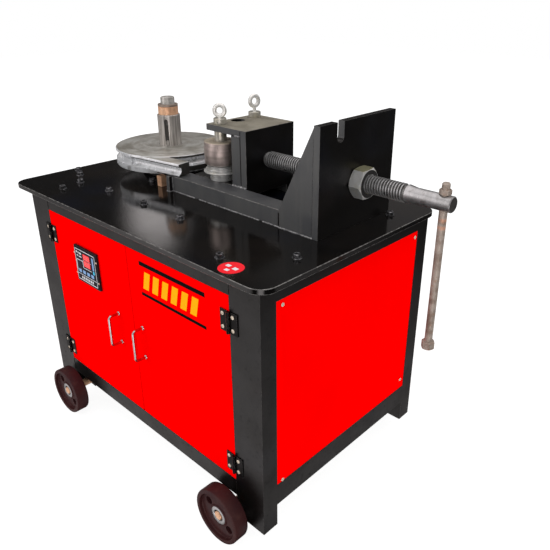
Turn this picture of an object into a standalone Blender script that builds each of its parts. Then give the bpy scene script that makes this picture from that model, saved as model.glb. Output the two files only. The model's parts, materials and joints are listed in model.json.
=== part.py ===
"""Electric pipe bender on a wheeled cabinet.

A vertical spindle turns a grooved bending die.  A hand-turned lead screw pushes a carriage with two
pressure rollers towards the die.  Lengths are in metres.  x runs along the cabinet's front and is
measured from the middle of the cabinet, y runs from the front to the back, z is the height above
the floor.  The empty "machine" carries everything and puts the part's origin under the middle of
its whole length.
"""

import math

import bmesh
import bpy
from mathutils import Matrix, Vector

GAP = 0.0003              # clearance between neighbouring pieces
RUN = 0.0005              # clearance where one piece slides on another
MACHINE_X = -0.05275      # the cabinet's middle, seen from the part's origin

# Cabinet frame: rectangular tube legs and channel rails.
FRAME_X = 0.516           # half width
FRAME_Y = 0.3396          # half depth
LEG_X = 0.100
LEG_Y = 0.050
STEEL = 0.004             # wall of legs and rails
LEG_FOOT = 0.060
RAIL_LOW = 0.129
RAIL_LOW_TOP = 0.182      # front and rear lower rails
SIDE_LOW_TOP = 0.195      # side lower rails
RAIL_HIGH = 0.7275        # upper rails, all round
HANGER_X = 0.373          # a hanger runs from here to its leg
HANGER_THICK = 0.010

# Table plate.
TABLE_TOP = 0.780
TABLE_THICK = 0.014
TABLE_X = (-0.607, 0.537)
TABLE_Y = 0.355
TABLE_CORNER = 0.045
TABLE_UNDER = TABLE_TOP - TABLE_THICK
TABLE_CLEAR_Y = -0.100    # nothing stands on the table in front of this line

# Sheet metal.
PANEL = 0.0015
PANEL_RECESS = 0.001
SHELF_THICK = 0.004
SHELF_X = 0.500           # half width
SHELF_Y = 0.287
DOOR_SPLIT = 0.004        # x of the line between the doors
DOOR_GAP = 0.0015
DOOR_DEPTH = 0.025
DOOR_SKIN = 0.002
DOOR_Z = (RAIL_LOW_TOP + 0.0012, RAIL_HIGH - 0.0012)

# Door furniture.
HINGE_Z = {"left": (0.2375, 0.651), "right": (0.2375, 0.658)}
HINGE_HALF = 0.0285       # half the height of a hinge leaf
HINGE_REACH = 0.0290      # from the pin to the leaf's far edge
HINGE_LEAF = 0.0025
HINGE_PIN_Y = -FRAME_Y - 0.0052
HINGE_PIN_X = FRAME_X - LEG_X - 0.0008
KNUCKLE = 0.0045
HINGE_PIN = 0.0022
HANDLE_X = {"left": -0.073, "right": 0.047}
HANDLE_Z = 0.443
HANDLE_SPAN = 0.096
HANDLE_REACH = 0.033
HANDLE_WIRE = 0.0038
HANDLE_BEND = 0.008

# Control unit in the left door.
CONTROL_X = (-0.273, -0.148)
CONTROL_Z = (0.537, 0.655)
CONTROL_PROUD = 0.008
CONTROL_LIP = 0.009       # bezel outside the cut-out in the door
CONTROL_DEPTH = 0.055
FACE_INSET = 0.005
FACE_THICK = 0.0012
DISPLAY_X = (-0.2195, -0.1835)
DISPLAY_Z = ((0.6200, 0.6385), (0.5985, 0.6170))
DISPLAY_THICK = 0.001

# Wheels and axles.
WHEEL_X = 0.395
WHEEL_RADIUS = 0.080
WHEEL_Y = (0.357, 0.399)  # inner and outer faces of the rim
WHEEL_WEB_Y = (0.377, 0.388)
WHEEL_RIM = 0.067         # inner radius of the rim
WHEEL_HUB = 0.0285
WHEEL_HUB_Y = (0.357, 0.391)
WHEEL_HOLE = 0.012
WHEEL_HOLE_RING = 0.046
WHEEL_HOLE_TURN = {"left": 135.0, "right": 146.0}
WHEEL_SIDES = 32
AXLE = 0.0125
AXLE_HALF = 0.3925

# Guide rails on the table, their end plates, and the screw bracket.
RAIL_TOP = 0.828
RAIL_X = (-0.148, 0.421)
FRONT_RAIL_Y = (-0.058, 0.002)
REAR_RAIL_Y = (0.203, 0.244)
END_PLATE = 0.014
END_PLATE_PROUD = 0.014
BRACKET_X = (0.421, 0.440)
BRACKET_Y = (-0.063, 0.246)
BRACKET_TOP = 1.064
GUSSET_TOE = 0.304
GUSSET_Y = ((-0.060, -0.046), (0.229, 0.243))
SLOT_Y = 0.015
SLOT_HALF = 0.013
SLOT_DEPTH = 0.050

# Lead screw, its nut and the cross bar.
SCREW_Y = 0.092
SCREW_Z = 0.901
THREAD = 0.0237
JOURNAL = 0.018
SCREW_TAIL = 0.020        # plain end
SCREW_X = (0.038, 0.7125)
THREAD_X = (0.1183, 0.590)
TAPER = 0.0245
COLLAR = 0.030            # holds the screw in the carriage
COLLAR_X = (0.038, 0.0575)
NUT_FLATS = 0.075
NUT_X = (0.4403, 0.478)
BAR_X = 0.689
BAR = 0.010
BAR_Z = (0.507, 0.950)
BAR_HEAD = 0.022
BAR_FLATS = 0.030
BAR_NUT_FLATS = 0.026
BAR_NUT = 0.013

# Roller carriage.
CARRIAGE_X = (-0.115, 0.118)
CARRIAGE_Y = (0.004, 0.201)
BASE_PLATE = (0.806, RAIL_TOP)
RUNNER = 0.030
BLOCK_X = 0.058           # the upright block starts here
TOP_PLATE_X = -0.048
TOP_PLATE_Z = (0.975, 0.993)
FREE_HOLE = 0.021
FREE_HOLE_Y = 0.100
PIN_X = -0.015
PIN_Y = {"front": 0.029, "rear": 0.169}
PIN = 0.018
PIN_FOOT = 0.783
PIN_COLLAR = 0.019
PIN_COLLAR_TOP = 1.010
EYE_Z = {"front": 1.031, "rear": 1.041}
EYE_TURN = {"front": 33.0, "rear": 80.0}
EYE_RING = 0.016
EYE_WIRE = 0.0055
EYE_STALK = 0.006
ROLLER = 0.050
ROLLER_Z = (0.878, 0.944)
# Stack under a roller: (radius, height of its top).
SEAT_STACK = ((0.036, 0.836), (0.032, 0.853), (0.054, 0.856), (0.042, 0.873), (0.036, 0.8777))

# Spindle, sleeve and die.
SPINDLE = (-0.349, 0.092)
SPINDLE_RADIUS = 0.030
SPINDLE_NECK = 0.023
SPINDLE_Z = (0.512, 1.026)
SPINDLE_FLANGE = (0.065, 0.795, 0.8147)
RING = 0.033
RING_Z = (0.9703, 1.003)
SLEEVE = 0.0375
SLEEVE_Z = (0.8153, 0.970)
KEYWAY_ANGLE = -52.0
KEYWAY_HALF = 0.0065
KEYWAY_DEPTH = 0.0045
KEYWAY_Z = (0.874, 0.958)
KEY_TOP = 0.888
DIE = 0.183
DIE_Z = (0.815, 0.870)
GROOVE = 0.014
GROOVE_Z = 0.849
TAIL_ANGLE = 8.0
TAIL_LENGTH = 0.212
TAIL_OFFSET = (0.133, 0.180)
TAIL_Z = (0.831, 0.869)
BEARING = (0.060, 0.100)  # neck and flange radius
BEARING_Z = (0.700, 0.7943)
PAD_AT = (-0.215, -0.050)
PAD_HALF = 0.011

# Drive inside the cabinet: worm gearbox, motor and V-belt.
GEARBOX_X = (-0.462, -0.190)
GEARBOX_Y = (-0.018, 0.202)
GEARBOX_Z = (0.520, 0.690)
GEARBOX_WALL = 0.008
GEARBOX_FLOOR = 0.012
COVER_THICK = 0.008
POST = 0.020
WHEEL_TEETH = 40
TOOTH_TIP = 0.095
TOOTH_ROOT = 0.089
WORM_WHEEL_Z = (0.590, 0.630)
WORM = 0.022
WORM_X = SPINDLE[0] + TOOTH_TIP + WORM + RUN
WORM_Z = 0.610
WORM_Y = (0.050, 0.134)
WORM_SHAFT = 0.0125
WORM_SHAFT_Y = (-0.030, 0.262)
PULLEY_Y = (0.225, 0.255)
DRIVEN_PULLEY = 0.070
MOTOR_PULLEY = 0.0467
PULLEY_LIP = 0.006
MOTOR_AT = (0.060, 0.340)
MOTOR = 0.082
MOTOR_Y = (-0.060, 0.200)
MOTOR_FOOT = ((0.000, 0.120), (-0.020, 0.160))
MOTOR_SHAFT = 0.012
MOTOR_NOSE = (0.050, 0.012)      # radius and length of the boss round the shaft
MOTOR_SHOULDER = 0.020
FAN_COVER = (0.072, 0.045)       # radius and length
TERMINAL_BOX = (0.03, 0.09, 0.01, 0.10, 0.412, 0.452)
BELT_HALF = 0.0065
BELT_THICK = 0.008

# Colours: (red, green, blue), roughness, metallic.
FINISHES = {
    "black_paint": ((0.012, 0.012, 0.013), 0.30, 0.0),
    "red_paint": ((0.80, 0.005, 0.003), 0.35, 0.0),
    "chrome": ((0.75, 0.75, 0.76), 0.12, 1.0),
    "polished_steel": ((0.55, 0.55, 0.54), 0.28, 1.0),
    "dark_steel": ((0.20, 0.19, 0.19), 0.40, 1.0),
    "rusty_steel": ((0.22, 0.15, 0.12), 0.65, 0.6),
    "bronze": ((0.62, 0.33, 0.18), 0.40, 1.0),
    "wheel_iron": ((0.065, 0.018, 0.018), 0.50, 0.0),
    "zinc": ((0.60, 0.60, 0.60), 0.35, 1.0),
    "black_plastic": ((0.015, 0.015, 0.018), 0.45, 0.0),
    "red_display": ((0.85, 0.02, 0.02), 0.20, 0.0),
    "rubber": ((0.02, 0.02, 0.02), 0.80, 0.0),
    "grey_iron": ((0.14, 0.17, 0.18), 0.55, 0.0),
    "motor_blue": ((0.02, 0.09, 0.22), 0.45, 0.0),
}


# ---------------------------------------------------------------- helpers


def clear_scene():
    for thing in list(bpy.data.objects):
        bpy.data.objects.remove(thing, do_unlink=True)


def finish_of(name):
    """The material of this name, made on first use."""
    found = bpy.data.materials.get(name)
    if found:
        return found
    colour, roughness, metallic = FINISHES[name]
    made = bpy.data.materials.new(name)
    made.use_nodes = True
    shader = made.node_tree.nodes["Principled BSDF"]
    shader.inputs["Base Color"].default_value = (*colour, 1.0)
    shader.inputs["Roughness"].default_value = roughness
    shader.inputs["Metallic"].default_value = metallic
    made.diffuse_color = (*colour, 1.0)
    return made


def add(name, bm, finish=None, origin=(0, 0, 0), smooth=False):
    """An object from a bmesh in machine coordinates, with its own origin, riding on the machine."""
    bmesh.ops.recalc_face_normals(bm, faces=bm.faces)
    bmesh.ops.translate(bm, verts=bm.verts, vec=-Vector(origin))
    mesh = bpy.data.meshes.new(name)
    bm.to_mesh(mesh)
    bm.free()
    if smooth:
        mesh.shade_smooth()
        mesh.set_sharp_from_angle(angle=math.radians(35))
    thing = bpy.data.objects.new(name, mesh)
    bpy.context.scene.collection.objects.link(thing)
    thing.parent = bpy.data.objects["machine"]
    thing.location = origin
    if finish:
        mesh.materials.append(finish_of(finish))
    return thing


def boolean(target, bm, operation="DIFFERENCE"):
    """Cuts a shape from an object, or joins one to it, with a Boolean modifier."""
    helper = add(f"{target.name}_{operation.lower()}_{len(target.modifiers)}", bm)
    helper.hide_render = True
    helper.display_type = "WIRE"
    modifier = target.modifiers.new(helper.name, "BOOLEAN")
    modifier.operation = operation
    modifier.solver = "EXACT"
    modifier.object = helper


def scored(bm, axis, place):
    """Divides a shape's faces along a plane across one axis, so that a clear area is a face of its own."""
    normal = Vector([1.0 if letter == axis else 0.0 for letter in "XYZ"])
    parts = bm.verts[:] + bm.edges[:] + bm.faces[:]
    bmesh.ops.bisect_plane(bm, geom=parts, plane_co=normal * place, plane_no=normal, dist=0.000001)
    return bm


def blocks(solids, hollows=()):
    """One closed skin round a union of boxes, less some hollow boxes.

    A box is (x low, x high, y low, y high, z low, z high).  Space is split at every box face, and
    each cell that is filled gets a face towards each empty neighbour.
    """
    every = [tuple(round(value, 6) for value in box) for box in (*solids, *hollows)]
    filled_boxes, hollow_boxes = every[: len(solids)], every[len(solids):]
    cuts = [sorted({value for box in every for value in box[2 * a : 2 * a + 2]}) for a in range(3)]

    def holds(box, middle):
        return all(box[2 * a] < middle[a] < box[2 * a + 1] for a in range(3))

    def filled(cell):
        if any(n < 0 or n >= len(cuts[a]) - 1 for a, n in enumerate(cell)):
            return False
        middle = [(cuts[a][n] + cuts[a][n + 1]) / 2 for a, n in enumerate(cell)]
        if any(holds(box, middle) for box in hollow_boxes):
            return False
        return any(holds(box, middle) for box in filled_boxes)

    bm = bmesh.new()
    corners = {}

    def corner(index):
        if index not in corners:
            corners[index] = bm.verts.new([cuts[a][n] for a, n in enumerate(index)])
        return corners[index]

    counts = [range(len(cuts[a]) - 1) for a in range(3)]
    for cell in ((i, j, k) for i in counts[0] for j in counts[1] for k in counts[2]):
        if not filled(cell):
            continue
        for axis in range(3):
            across, along = (axis + 1) % 3, (axis + 2) % 3
            for side in (0, 1):
                beside = list(cell)
                beside[axis] += 1 if side else -1
                if filled(beside):
                    continue
                ring = []
                for step_across, step_along in ((0, 0), (1, 0), (1, 1), (0, 1)):
                    index = list(cell)
                    index[axis] += side
                    index[across] += step_across
                    index[along] += step_along
                    ring.append(corner(tuple(index)))
                bm.faces.new(ring if side else ring[::-1])
    bm.normal_update()
    bmesh.ops.dissolve_limit(bm, angle_limit=0.001, verts=bm.verts, edges=bm.edges)
    return bm


def prism(outline, low, high, axis="Z"):
    """A flat outline pushed out along an axis.

    The outline's points are (x, y) for Z, (x, z) for Y and (y, z) for X.
    """
    place = {
        "Z": lambda p, h: (p[0], p[1], h),
        "Y": lambda p, h: (p[0], h, p[1]),
        "X": lambda p, h: (h, p[0], p[1]),
    }[axis]
    bm = bmesh.new()
    lower = [bm.verts.new(place(p, low)) for p in outline]
    upper = [bm.verts.new(place(p, high)) for p in outline]
    bm.faces.new(lower)
    bm.faces.new(upper)
    for n in range(len(outline)):
        after = (n + 1) % len(outline)
        bm.faces.new((lower[n], lower[after], upper[after], upper[n]))
    return bm


def arc(centre, radius, start, end, steps):
    """Points on an arc, from one angle to another, in degrees."""
    angles = [math.radians(start + (end - start) * n / steps) for n in range(steps + 1)]
    return [(centre[0] + radius * math.cos(a), centre[1] + radius * math.sin(a)) for a in angles]


def polygon(centre, radius, sides, turn=0.0):
    return arc(centre, radius, turn, turn + 360 * (sides - 1) / sides, sides - 1)


def aim(bm, axis, at):
    """Turns a shape made round Z to lie along an axis, and moves it to its place."""
    turns = {
        "Z": Matrix.Identity(4),
        "X": Matrix(((0, 0, 1, 0), (0, 1, 0, 0), (-1, 0, 0, 0), (0, 0, 0, 1))),
        "Y": Matrix(((1, 0, 0, 0), (0, 0, 1, 0), (0, -1, 0, 0), (0, 0, 0, 1))),
    }
    bmesh.ops.transform(bm, verts=bm.verts, matrix=Matrix.Translation(at) @ turns[axis])
    return bm


def turned(profile, sides=32, axis="Z", at=(0, 0, 0), start=0.0):
    """A turned shape.  The profile's points are (radius, distance along the axis).

    A profile that starts and ends at radius 0 is a solid, and any other is closed into a ring.
    """
    bm = bmesh.new()
    solid = profile[0][0] == 0
    rings = []
    for radius, height in profile:
        if radius == 0:
            rings.append([bm.verts.new((0, 0, height))])
            continue
        rings.append([bm.verts.new((x, y, height)) for x, y in polygon((0, 0), radius, sides, start)])
    pairs = list(zip(rings, rings[1:]))
    if not solid:
        pairs.append((rings[-1], rings[0]))
    for low, high in pairs:
        for n in range(sides):
            after = (n + 1) % sides
            if len(low) == 1:
                bm.faces.new((low[0], high[n], high[after]))
            elif len(high) == 1:
                bm.faces.new((low[n], high[0], low[after]))
            else:
                bm.faces.new((low[n], low[after], high[after], high[n]))
    return aim(bm, axis, at)


def turned_open(profile, sides, axis, at):
    """A turned shape whose profile touches the axis twice in its middle: a solid with a blind bore."""
    bm = bmesh.new()
    rings = []
    for radius, height in profile:
        if radius == 0:
            rings.append([bm.verts.new((0, 0, height))])
        else:
            rings.append([bm.verts.new((x, y, height)) for x, y in polygon((0, 0), radius, sides)])
    for low, high in zip(rings, rings[1:] + rings[:1]):
        if len(low) == 1 and len(high) == 1:
            continue
        for n in range(sides):
            after = (n + 1) % sides
            if len(low) == 1:
                bm.faces.new((low[0], high[n], high[after]))
            elif len(high) == 1:
                bm.faces.new((low[n], high[0], low[after]))
            else:
                bm.faces.new((low[n], low[after], high[after], high[n]))
    return aim(bm, axis, at)


def rod(radius, low, high, sides=24, axis="Z", at=(0, 0, 0), chamfer=0.0):
    """A round bar, with its ends chamfered."""
    if not chamfer:
        return turned([(0, low), (radius, low), (radius, high), (0, high)], sides, axis, at)
    return turned(
        [
            (0, low),
            (radius - chamfer, low),
            (radius, low + chamfer),
            (radius, high - chamfer),
            (radius - chamfer, high),
            (0, high),
        ],
        sides,
        axis,
        at,
    )


def ring(outer, inner, low, high, sides=32, axis="Z", at=(0, 0, 0)):
    return turned([(inner, low), (outer, low), (outer, high), (inner, high)], sides, axis, at)


def tube(path, radius, sides, across):
    """A round wire along a flat path.  across is the direction square to the path's plane."""
    bm = bmesh.new()
    across = Vector(across)
    points = [Vector(p) for p in path]
    rings = []
    for n, point in enumerate(points):
        before = points[max(n - 1, 0)]
        after = points[min(n + 1, len(points) - 1)]
        forward = (after - before).normalized()
        outward = forward.cross(across)
        stretch = 1.0
        if 0 < n < len(points) - 1:
            stretch = 1 / max(forward.dot((after - point).normalized()), 0.5)
        side = across * radius
        front = outward * radius * stretch
        rings.append([bm.verts.new(point + side * a + front * b) for a, b in polygon((0, 0), 1, sides)])
    for low, high in zip(rings, rings[1:]):
        for n in range(sides):
            after = (n + 1) % sides
            bm.faces.new((low[n], low[after], high[after], high[n]))
    bm.faces.new(rings[0])
    bm.faces.new(rings[-1])
    return bm


def hexagon(flats, turn=0.0):
    return polygon((0, 0), flats / math.sqrt(3), 6, turn)


def moved(outline, by):
    return [(a + by[0], b + by[1]) for a, b in outline]


# ---------------------------------------------------------------- cabinet


def mirror_box(box, flip_x, flip_y):
    x0, x1, y0, y1, z0, z1 = box
    if flip_x:
        x0, x1 = -x1, -x0
    if flip_y:
        y0, y1 = -y1, -y0
    return (x0, x1, y0, y1, z0, z1)


def cabinet_frame():
    top = TABLE_UNDER - GAP
    in_x = FRAME_X - LEG_X
    in_y = FRAME_Y - LEG_Y
    solids, hollows = [], []
    for flip_x in (False, True):
        for flip_y in (False, True):
            leg = (in_x, FRAME_X, in_y, FRAME_Y, LEG_FOOT, top)
            bore = (in_x + STEEL, FRAME_X - STEEL, in_y + STEEL, FRAME_Y - STEEL, LEG_FOOT, top - STEEL)
            hanger = (HANGER_X, in_x, in_y, in_y + HANGER_THICK, LEG_FOOT, RAIL_LOW)
            solids += [mirror_box(leg, flip_x, flip_y), mirror_box(hanger, flip_x, flip_y)]
            hollows.append(mirror_box(bore, flip_x, flip_y))
    for flip in (False, True):
        for low, high in ((RAIL_LOW, RAIL_LOW_TOP), (RAIL_HIGH, top)):
            rail = (-in_x, in_x, in_y, FRAME_Y, low, high)
            channel = (-in_x, in_x, in_y, FRAME_Y - STEEL, low + STEEL, high - STEEL)
            solids.append(mirror_box(rail, False, flip))
            hollows.append(mirror_box(channel, False, flip))
        for low, high in ((RAIL_LOW, SIDE_LOW_TOP), (RAIL_HIGH, top)):
            rail = (FRAME_X - LEG_Y, FRAME_X, -in_y, in_y, low, high)
            channel = (FRAME_X - LEG_Y, FRAME_X - STEEL, -in_y, in_y, low + STEEL, high - STEEL)
            solids.append(mirror_box(rail, flip, False))
            hollows.append(mirror_box(channel, flip, False))
    frame = add("cabinet_frame", blocks(solids, hollows), "black_paint")
    for x in (-WHEEL_X, WHEEL_X):
        boolean(frame, rod(AXLE + GAP, -0.31, 0.31, 20, "Y", at=(x, 0, WHEEL_RADIUS)))


def table_plate():
    outline = []
    corners = (
        (TABLE_X[1], -TABLE_Y, -90),
        (TABLE_X[1], TABLE_Y, 0),
        (TABLE_X[0], TABLE_Y, 90),
        (TABLE_X[0], -TABLE_Y, 180),
    )
    for x, y, start in corners:
        middle = (x - math.copysign(TABLE_CORNER, x), y - math.copysign(TABLE_CORNER, y))
        outline += arc(middle, TABLE_CORNER, start, start + 90, 8)
    plate = scored(prism(outline, TABLE_UNDER, TABLE_TOP), "Y", TABLE_CLEAR_Y)
    table = add("table_plate", plate, "black_paint")
    boolean(table, rod(BEARING[0] + RUN, 0.75, 0.80, 32, at=(*SPINDLE, 0)))


def panels_and_shelf():
    in_y = FRAME_Y - LEG_Y - GAP
    for name, side in (("side_panel_left", -1), ("side_panel_right", 1)):
        outer = FRAME_X - PANEL_RECESS
        box = (outer - PANEL, outer, -in_y, in_y, SIDE_LOW_TOP + GAP, RAIL_HIGH - GAP)
        add(name, blocks([mirror_box(box, side < 0, False)]), "red_paint")
    in_x = FRAME_X - LEG_X - GAP
    outer = FRAME_Y - PANEL_RECESS
    box = (-in_x, in_x, outer - PANEL, outer, RAIL_LOW_TOP + GAP, RAIL_HIGH - GAP)
    add("rear_panel", blocks([box]), "red_paint")
    low = SIDE_LOW_TOP + GAP
    shelf = (-SHELF_X, SHELF_X, -SHELF_Y, SHELF_Y, low, low + SHELF_THICK)
    add("base_shelf", blocks([shelf]), "black_paint")


# ---------------------------------------------------------------- doors


def door(side):
    hinge = HINGE_PIN_X if side == "right" else -HINGE_PIN_X
    edge = FRAME_X - LEG_X - DOOR_GAP
    if side == "left":
        span = (-edge, DOOR_SPLIT - DOOR_GAP)
    else:
        span = (DOOR_SPLIT + DOOR_GAP, edge)
    front = -FRAME_Y
    box = (*span, front, front + DOOR_DEPTH, *DOOR_Z)
    inside = (
        span[0] + DOOR_SKIN,
        span[1] - DOOR_SKIN,
        front + DOOR_SKIN,
        front + DOOR_DEPTH,
        DOOR_Z[0] + DOOR_SKIN,
        DOOR_Z[1] - DOOR_SKIN,
    )
    hollows = [inside]
    if side == "left":
        lip = CONTROL_LIP - GAP
        hollows.append(
            (
                CONTROL_X[0] + lip,
                CONTROL_X[1] - lip,
                front,
                front + DOOR_DEPTH,
                CONTROL_Z[0] + lip,
                CONTROL_Z[1] - lip,
            )
        )
    add(f"{side}_door", blocks([box], hollows), "red_paint", origin=(hinge, HINGE_PIN_Y, 0))


def hinge_leaf(name, pin_x, towards, middle_z, on_door):
    """A leaf with its half of the knuckle.  The frame's leaf holds the lower half and the pin."""
    low, high = middle_z - HINGE_HALF, middle_z + HINGE_HALF
    own = (middle_z + GAP, high) if on_door else (low, middle_z - GAP)
    back = -FRAME_Y - GAP
    near, reach = KNUCKLE + 0.0006, HINGE_REACH
    root = KNUCKLE - 0.0025
    plate = (near, reach, low, high)
    tab = (root, near, *own)
    boxes = []
    for start, end, box_low, box_high in (plate, tab):
        xs = sorted((pin_x + towards * start, pin_x + towards * end))
        boxes.append((*xs, back - HINGE_LEAF, back, box_low, box_high))
    place = (pin_x, HINGE_PIN_Y, 0)
    leaf = add(name, blocks(boxes), "black_paint", origin=place)
    boolean(leaf, rod(KNUCKLE, *own, sides=12, at=place), "UNION")
    if on_door:
        boolean(leaf, rod(HINGE_PIN + GAP, low, high - 0.004, sides=8, at=place))
    else:
        boolean(leaf, rod(HINGE_PIN, low + 0.01, high - 0.006, sides=8, at=place), "UNION")


def hinges():
    for side, sign in (("left", -1), ("right", 1)):
        for level, middle in zip(("lower", "upper"), HINGE_Z[side]):
            pin_x = sign * HINGE_PIN_X
            hinge_leaf(f"{side}_{level}_hinge_frame_leaf", pin_x, sign, middle, False)
            hinge_leaf(f"{side}_{level}_hinge_door_leaf", pin_x, -sign, middle, True)


def handle(side):
    x = HANDLE_X[side]
    foot, reach = -FRAME_Y - GAP, -FRAME_Y - HANDLE_REACH
    low, high = HANDLE_Z - HANDLE_SPAN / 2, HANDLE_Z + HANDLE_SPAN / 2
    bend = HANDLE_BEND
    lower_bend = arc((reach + bend, low + bend), bend, 270, 180, 5)
    upper_bend = arc((reach + bend, high - bend), bend, 180, 90, 5)
    path = [(x, y, z) for y, z in [(foot, low), *lower_bend, *upper_bend, (foot, high)]]
    pin_x = HINGE_PIN_X if side == "right" else -HINGE_PIN_X
    bar = tube(path, HANDLE_WIRE, 8, (1, 0, 0))
    add(f"{side}_handle", bar, "chrome", origin=(pin_x, HINGE_PIN_Y, 0), smooth=True)


def control_unit():
    place = (-HINGE_PIN_X, HINGE_PIN_Y, 0)
    front = -FRAME_Y - CONTROL_PROUD
    bezel = (*CONTROL_X, front, -FRAME_Y - GAP, *CONTROL_Z)
    body = (
        CONTROL_X[0] + CONTROL_LIP,
        CONTROL_X[1] - CONTROL_LIP,
        -FRAME_Y - GAP,
        -FRAME_Y + CONTROL_DEPTH,
        CONTROL_Z[0] + CONTROL_LIP,
        CONTROL_Z[1] - CONTROL_LIP,
    )
    face_x = (CONTROL_X[0] + FACE_INSET, CONTROL_X[1] - FACE_INSET)
    face_z = (CONTROL_Z[0] + FACE_INSET, CONTROL_Z[1] - FACE_INSET)
    add("control_case", blocks([bezel, body]), "black_plastic", origin=place)
    face_back = front - GAP
    face = (*face_x, face_back - FACE_THICK, face_back, *face_z)
    add("control_face", blocks([face]), "black_plastic", origin=place)
    glass_back = face_back - FACE_THICK - GAP
    for name, span in zip(("upper_display", "lower_display"), DISPLAY_Z):
        glass = (*DISPLAY_X, glass_back - DISPLAY_THICK, glass_back, *span)
        add(name, blocks([glass]), "red_display", origin=place)


# ---------------------------------------------------------------- wheels


def wheel(name, x, side, turn):
    """A cast wheel: a rim, a thin web with two holes, and a hub.  A flat of its rim stands on the floor."""
    inner, outer = WHEEL_Y
    web_inner, web_outer = WHEEL_WEB_Y
    hub_inner, hub_outer = WHEEL_HUB_Y
    corner = WHEEL_RADIUS / math.cos(math.pi / WHEEL_SIDES)
    edge = 0.003
    profile = [
        (AXLE + GAP, hub_inner),
        (WHEEL_HUB, hub_inner),
        (WHEEL_HUB, web_inner),
        (WHEEL_RIM, web_inner),
        (WHEEL_RIM, inner),
        (corner - edge, inner),
        (corner, inner + edge),
        (corner, outer - edge),
        (corner - edge, outer),
        (WHEEL_RIM, outer),
        (WHEEL_RIM, web_outer),
        (WHEEL_HUB, web_outer),
        (WHEEL_HUB, hub_outer),
        (AXLE + GAP, hub_outer),
    ]
    place = (x, 0, WHEEL_RADIUS)
    half_side = 180 / WHEEL_SIDES
    bm = turned(profile, WHEEL_SIDES, "Y", start=half_side)
    if side < 0:
        bmesh.ops.scale(bm, vec=(1, -1, 1), verts=bm.verts)
    bmesh.ops.translate(bm, vec=place, verts=bm.verts)
    disc = add(name, bm, "wheel_iron", origin=place, smooth=True)
    for angle in (math.radians(turn), math.radians(turn - 180)):
        hole_x = x + WHEEL_HOLE_RING * math.cos(angle)
        hole_z = WHEEL_RADIUS + WHEEL_HOLE_RING * math.sin(angle)
        low, high = sorted((side * (inner - 0.01), side * (outer + 0.02)))
        boolean(disc, rod(WHEEL_HOLE, low, high, 12, "Y", (hole_x, 0, hole_z)))


def wheels_and_axles():
    for side_name, x in (("left", -WHEEL_X), ("right", WHEEL_X)):
        bar = rod(AXLE, -AXLE_HALF, AXLE_HALF, 20, "Y", (x, 0, WHEEL_RADIUS), chamfer=0.002)
        add(f"{side_name}_axle", bar, "bronze", smooth=True)
        wheel(f"front_{side_name}_wheel", x, -1, WHEEL_HOLE_TURN[side_name])
        wheel(f"rear_{side_name}_wheel", x, 1, WHEEL_HOLE_TURN[side_name])


# ---------------------------------------------------------------- screw side


def guide_rails():
    low = TABLE_TOP + GAP
    for name, span, gusset, outer_side in (
        ("front_guide_rail", FRONT_RAIL_Y, GUSSET_Y[0], -1),
        ("rear_guide_rail", REAR_RAIL_Y, GUSSET_Y[1], 1),
    ):
        body = (*RAIL_X, *span, low, RAIL_TOP)
        body = (body[0], body[1] - GAP, *body[2:])
        ends = [span[0], span[1]]
        ends[0 if outer_side < 0 else 1] += outer_side * END_PLATE_PROUD
        plate = (RAIL_X[0] - END_PLATE, RAIL_X[0], *ends, low, RAIL_TOP)
        room = [gusset[0] - GAP, gusset[1] + GAP]
        room[0 if outer_side < 0 else 1] = span[0 if outer_side < 0 else 1]
        notch = (GUSSET_TOE - GAP, RAIL_X[1], *room, low, RAIL_TOP)
        add(name, blocks([body, plate], [notch]), "black_paint")


def screw_bracket():
    low = TABLE_TOP + GAP
    y0, y1 = BRACKET_Y
    slot_floor = BRACKET_TOP - SLOT_DEPTH + SLOT_HALF
    outline = [(y0, low), (y1, low), (y1, BRACKET_TOP), (SLOT_Y + SLOT_HALF, BRACKET_TOP)]
    outline += arc((SLOT_Y, slot_floor), SLOT_HALF, 0, -180, 8)
    outline += [(SLOT_Y - SLOT_HALF, BRACKET_TOP), (y0, BRACKET_TOP)]
    bracket = add("screw_bracket", prism(outline, *BRACKET_X, "X"), "black_paint")
    inside = BRACKET_X[0] + 0.002
    for span in GUSSET_Y:
        side = [
            (GUSSET_TOE, low + GAP),
            (inside, low + GAP),
            (inside, BRACKET_TOP - 0.001),
            (BRACKET_X[0], BRACKET_TOP - 0.001),
            (GUSSET_TOE, RAIL_TOP),
        ]
        boolean(bracket, prism(side, *span, "Y"), "UNION")
    boolean(bracket, rod(THREAD + RUN, 0.40, 0.46, 24, "X", (0, SCREW_Y, SCREW_Z)))


def hex_nut(name, finish, flats, bore, span, axis, at, turn, chamfer, origin=None):
    """A hexagon nut with its corners turned down at both ends."""
    bm = prism(hexagon(flats, turn), *span)
    aim(bm, axis, at)
    nut = add(name, bm, finish, origin=origin or at)
    corner = flats / math.sqrt(3)
    low, high = span
    reach = corner + 0.004
    rise = (reach - flats / 2 + chamfer) * math.tan(math.radians(30))
    limit = [
        (0, low - 0.005),
        (flats / 2 - chamfer - 0.005 / math.tan(math.radians(30)), low - 0.005),
        (reach, low + rise),
        (reach, high - rise),
        (flats / 2 - chamfer - 0.005 / math.tan(math.radians(30)), high + 0.005),
        (0, high + 0.005),
    ]
    boolean(nut, turned(limit, 24, axis, at), "INTERSECT")
    if bore:
        boolean(nut, rod(bore, low - 0.01, high + 0.01, 24, axis, at))
    return nut


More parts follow.
